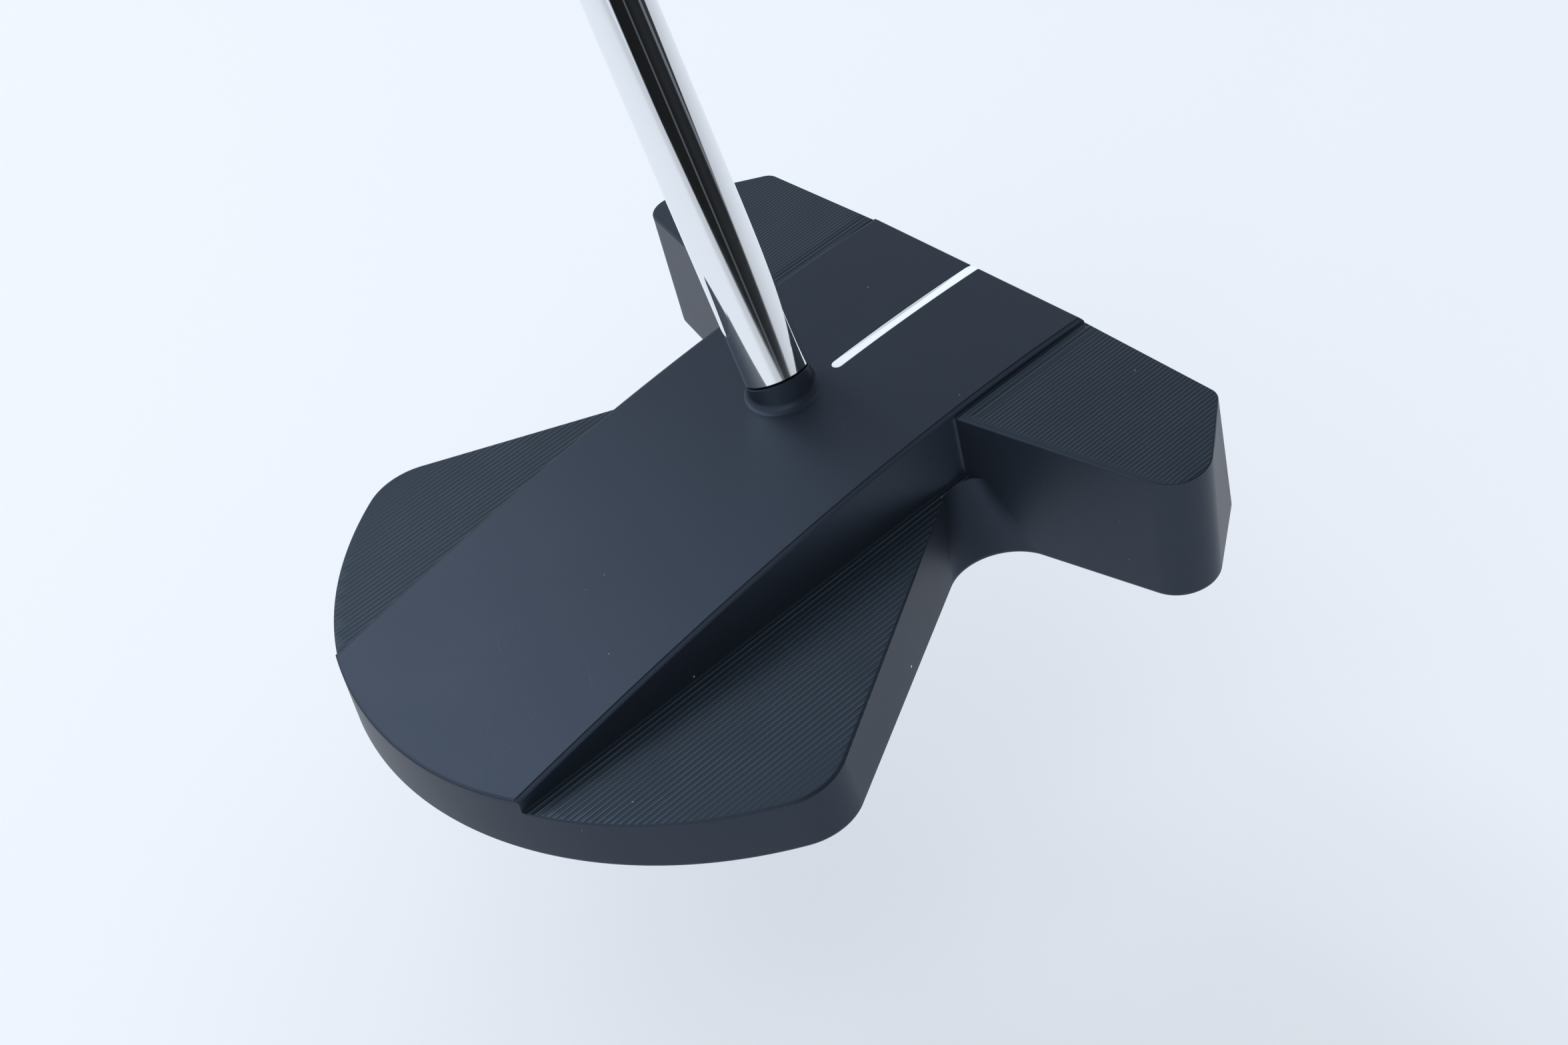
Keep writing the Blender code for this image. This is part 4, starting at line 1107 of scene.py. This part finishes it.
# A headless screw with bevelled ends and a hexagonal socket.
def smallScrew(k, x, y):
    low, top = soleParts["recess"], soleParts["recess"] + soleParts["screwLength"]
    r, bevel = soleParts["screwRadius"] - soleParts["screwSlack"], soleParts["screwBevel"]
    profile = [(0, low), (r - bevel, low), (r, low + bevel), (r, top - bevel), (r - bevel, top), (0, top)]
    body = lathe(f"sole_screw_{k}", profile, 64)
    tool = hexTool(soleParts["screwSocket"], soleParts["socketDepth"])
    place(tool, (0, 0, low))
    cut(body, [tool])
    return place(softEdges(body, 32), (x, y, 0))


for k, (x, y) in enumerate(soleParts["screws"], start=1):
    show(smallScrew(k, x, y), "putter", "screw", f"tuning_screw_{k}")
print("sole hardware done")

# Grip: pistol section with a flat front, moulded grooves, and an end cap

grip = {"length": 262.0, "topHalf": (13.6, 15.6), "lowHalf": (11.2, 12.4), "flat": 0.82, "skin": 1.3,
        "rows": 420, "sides": 96, "inset": 0.12, "groove": 0.45, "groovePitch": 5.2, "grooveWidth": 0.55,
        "bars": 0.35, "barPitch": 9.0, "barWidth": 0.8, "barHalf": 6.5, "lip": 0.7, "lipHeight": 1.6,
        "plainLow": (12, 20), "plainTop": (14, 22), "backFrom": (-0.35, 0.25), "panelFrom": (0.55, 0.75)}


# Half sizes ease from low to top; the section is an ellipse cut off by the thumb flat on its toe side.
def gripSection(along, inset, sides):
    ease = along * along * (3 - 2 * along)
    across, deep = (low + (top - low) * ease for low, top in zip(grip["lowHalf"], grip["topHalf"]))
    turn = np.arange(sides) * 2 * np.pi / sides
    x = (deep[:, None] - inset) * np.cos(turn)
    x = np.minimum(x, grip["flat"] * deep[:, None] - inset)
    return x, (across[:, None] - inset) * np.sin(turn), turn


# A bell-shaped line in the middle of each pitch: exp(-(distance / width)^2).
def repeatedLine(height, pitch, width):
    return np.exp(-((((height / pitch) % 1.0)[:, None] - 0.5) * pitch / width) ** 2)


# The skin: outside rows with shallow moulded grooves on the back and a stitched-look seam, inside rows
# plain.
def gripPiece():
    low = shaftLength - grip["length"]
    height = np.linspace(0, grip["length"], grip["rows"])
    along = height / grip["length"]
    inset = np.full((grip["rows"], 1), grip["inset"])
    x, y, turn = gripSection(along, inset, grip["sides"])
    facing = np.cos(turn)[None]
    topStart, topEnd = (end - grip["length"] for end in grip["plainTop"])
    ends = (smooth(height, *grip["plainLow"]) * smooth(-height, topStart, topEnd))[:, None]
    line = repeatedLine(height, grip["groovePitch"], grip["grooveWidth"]) * smooth(-facing, *grip["backFrom"])
    bars = repeatedLine(height, grip["barPitch"], grip["barWidth"]) * smooth(facing, *grip["panelFrom"])
    bars = bars * (np.abs(y) < grip["barHalf"])
    depth = (grip["groove"] * line + grip["bars"] * bars) * ends
    lip = grip["lip"] * (1 - smooth(height, 0.0, grip["lipHeight"]))[:, None]
    size = np.sqrt(x**2 + y**2)
    scale = (size - depth - lip) / size
    outside = np.stack([x * scale, y * scale, np.repeat(height[:, None] + low, grip["sides"], axis=1)], axis=-1)
    plainRows = np.linspace(grip["length"], 0, 24)
    xi, yi, _ = gripSection(plainRows / grip["length"], grip["skin"], grip["sides"])
    inside = np.stack([xi, yi, np.repeat(plainRows[:, None] + low, grip["sides"], axis=1)], axis=-1)
    return onAxis(softEdges(loft("grip_cover", np.concatenate([outside, inside]), True), 45))


endCap = {
    "lift": 0.05, "spigot": 10, "spigotGap": 0.1, "spigotBevel": 0.4, "clear": 8,
    "rows": ((0.0, 0.35), (0.15, 0.2), (1.6, 0.2), (2.6, 0.45), (3.3, 0.95), (3.75, 1.8), (4.0, 3.2)),
    "vent": (1, 3.8, 1.3, 4.1), "dish": (5.2, 3.75, 5.6, 4.05),  # radius and height, inside and then outside
}


# Rings of the grip's top section that close in to a dome, with a spigot, a dish and a vent.
def capPiece():
    base = shaftLength + endCap["lift"]
    rings = []
    for rise, inset in endCap["rows"]:
        x, y, _ = gripSection(np.ones(1), inset, grip["sides"])
        rings.append(np.column_stack([x[0], y[0], np.full(grip["sides"], base + rise)]))
    body = loft("grip_cap", rings)
    r, bevel = shaft["buttRadius"] - shaft["wall"] - endCap["spigotGap"], endCap["spigotBevel"]
    end, clear = shaftLength - endCap["spigot"], base + endCap["clear"]
    spigot = lathe("spigot", [(0, end), (r - bevel, end), (r, end + bevel), (r, base + 1), (0, base + 1)])
    cut(body, [spigot], "UNION")
    inner, low, outer, high = endCap["vent"]
    below = end - endCap["spigot"]
    vent = lathe("vent", [(0, below), (inner, below), (inner, base + low), (outer, base + high), (outer, clear),
                          (0, clear)], 48)
    inner, low, outer, high = endCap["dish"]
    dish = lathe("dish", [(0, base + low), (inner, base + low), (outer, base + high), (outer, clear),
                          (0, clear)])
    cut(body, [dish, vent])
    return onAxis(softEdges(body, 32))


show(gripPiece(), "putter", "grip", "grip_skin")
show(capPiece(), "putter", "grip", "grip_end_cap")
print("grip done")

# Studio: pale sweep, soft lights, and a surround whose bands show in the chrome

studio = {"floorZ": -0.085, "cameraPlace": (0.26071679, -0.19735803, 0.24405861), "lens": 63.245,
          "right": (0.6297444, 0.7523516, -0.1933623), "down": (0.3904752, -0.5217764, -0.7584712),
          "forward": (-0.6715289, 0.4021398, -0.6223604),
          "floorSize": 20000.0, "pale": (0.78, 0.84, 0.93, 1), "bandTint": (0.86, 0.95, 1.06),
          "lights": {"fill": ((0.9, -0.9, 1.2), (0, -0.05, 0), (1.2, 1.2), 6.5, (0.93, 0.96, 1.0)),
                     "rearSheen": ((-1.0, -0.22, 1.0), (0, -0.10, 0), (0.6, 0.5), 4.2, (0.80, 0.88, 1.0))}}


# The camera's matrix has right, up and back as its columns.
def makeCamera():
    data = bpy.data.cameras.new("view")
    data.lens, data.sensor_width, data.clip_start = studio["lens"], 36.0, 0.01
    made = bpy.data.objects.new("view", data)
    bpy.context.scene.collection.objects.link(made)
    right, down, forward = (Vector(studio[k]) for k in ("right", "down", "forward"))
    matrix = Matrix((right, -down, -forward)).transposed().to_4x4()
    matrix.translation = Vector(studio["cameraPlace"])
    made.matrix_world = matrix
    bpy.context.scene.camera = made


# A flat sheet below the head, wide enough to reach the horizon.
def makeFloor():
    size, z = studio["floorSize"], studio["floorZ"] / mm
    corners = [(-size, -size, z), (size, -size, z), (size, size, z), (-size, size, z)]
    floor = meshObject("floor", corners, [(0, 1, 2, 3)])
    material, tree, shader = newMaterial("paleFloor", 0.0, 0.2)
    where = node(tree, "TexCoord")
    cloud = noise(tree, where.outputs["Object"], 2.0, 2.0)
    wire(tree, [(mixColour(tree, cloud, (0.85, 0.845, 0.84), (0.87, 0.86, 0.85)), shader.inputs["Base Color"])])
    shader.inputs["Roughness"].default_value = 0.7
    floor.data.materials.append(material)


# A rectangle of light at a spot, turned to its aim.
def areaLight(name, spot, aim, size, power, colour):
    data = bpy.data.lights.new(name, "AREA")
    data.shape, data.size, data.size_y, data.energy, data.color = "RECTANGLE", size[0], size[1], power, colour
    made = bpy.data.objects.new(name, data)
    bpy.context.scene.collection.objects.link(made)
    made.location = spot
    made.rotation_euler = (Vector(aim) - Vector(spot)).to_track_quat("-Z", "Y").to_euler()


# Position round the shaft's axis (0 = towards the viewer, -1 and 1 = straight away) and brightness.
bands = ((-1.0, 0.58), (-0.85, 0.68), (-0.62, 0.88), (-0.34, 0.95), (-0.17, 0.95), (-0.145, 0.012), (0.0, 0.014),
         (0.06, 0.012), (0.07, 0.11), (0.085, 0.11), (0.10, 0.012), (0.2, 0.026), (0.325, 0.02), (0.345, 0.2),
         (0.37, 0.2), (0.39, 0.03), (0.44, 0.05), (0.49, 0.22), (0.60, 0.33), (0.64, 0.36), (0.66, 0.66),
         (0.75, 0.68), (1.0, 0.58))


# Pale everywhere for the eye and for soft light; mirror-like reflections see vertical bands round the
# axis.
def makeWorld():
    world = bpy.data.worlds.new("studio")
    bpy.context.scene.world = world
    world.use_nodes = True
    tree = world.node_tree
    background = tree.nodes["Background"]
    where = node(tree, "TexCoord")
    look = (foot * mm + axis * 0.06 - Vector(studio["cameraPlace"])).normalized()
    flat = -(look - axis * look.dot(axis)).normalized()
    sideways = axis.cross(flat)
    parts = []
    for direction in (flat, sideways):
        dot = node(tree, "VectorMath", operation="DOT_PRODUCT")
        dot.inputs[1].default_value = direction
        wire(tree, [(where.outputs["Generated"], dot.inputs[0])])
        parts.append(dot.outputs["Value"])
    angle = maths(tree, "ARCTAN2", parts[1], parts[0])
    share = remap(tree, angle, -math.pi, math.pi)
    ramp = node(tree, "ValToRGB")
    while len(ramp.color_ramp.elements) > 1:
        ramp.color_ramp.elements.remove(ramp.color_ramp.elements[0])
    for k, (spot, value) in enumerate(bands):
        stop = (spot + 1) / 2
        item = ramp.color_ramp.elements[0] if k == 0 else ramp.color_ramp.elements.new(stop)
        item.position = stop
        item.color = (*(value * tint for tint in studio["bandTint"]), 1)
    wire(tree, [(share, ramp.inputs["Fac"])])
    pale = node(tree, "RGB")
    pale.outputs[0].default_value = studio["pale"]
    path = node(tree, "LightPath")
    seen = mixColour(tree, path.outputs["Is Glossy Ray"], pale.outputs[0], ramp.outputs["Color"])
    wire(tree, [(seen, background.inputs["Color"])])
    background.inputs["Strength"].default_value = 1.0


makeCamera()
makeFloor()
makeWorld()
for name, numbers in studio["lights"].items():
    areaLight(name, *numbers)
bpy.context.scene.view_settings.view_transform = "Standard"
print("studio done")
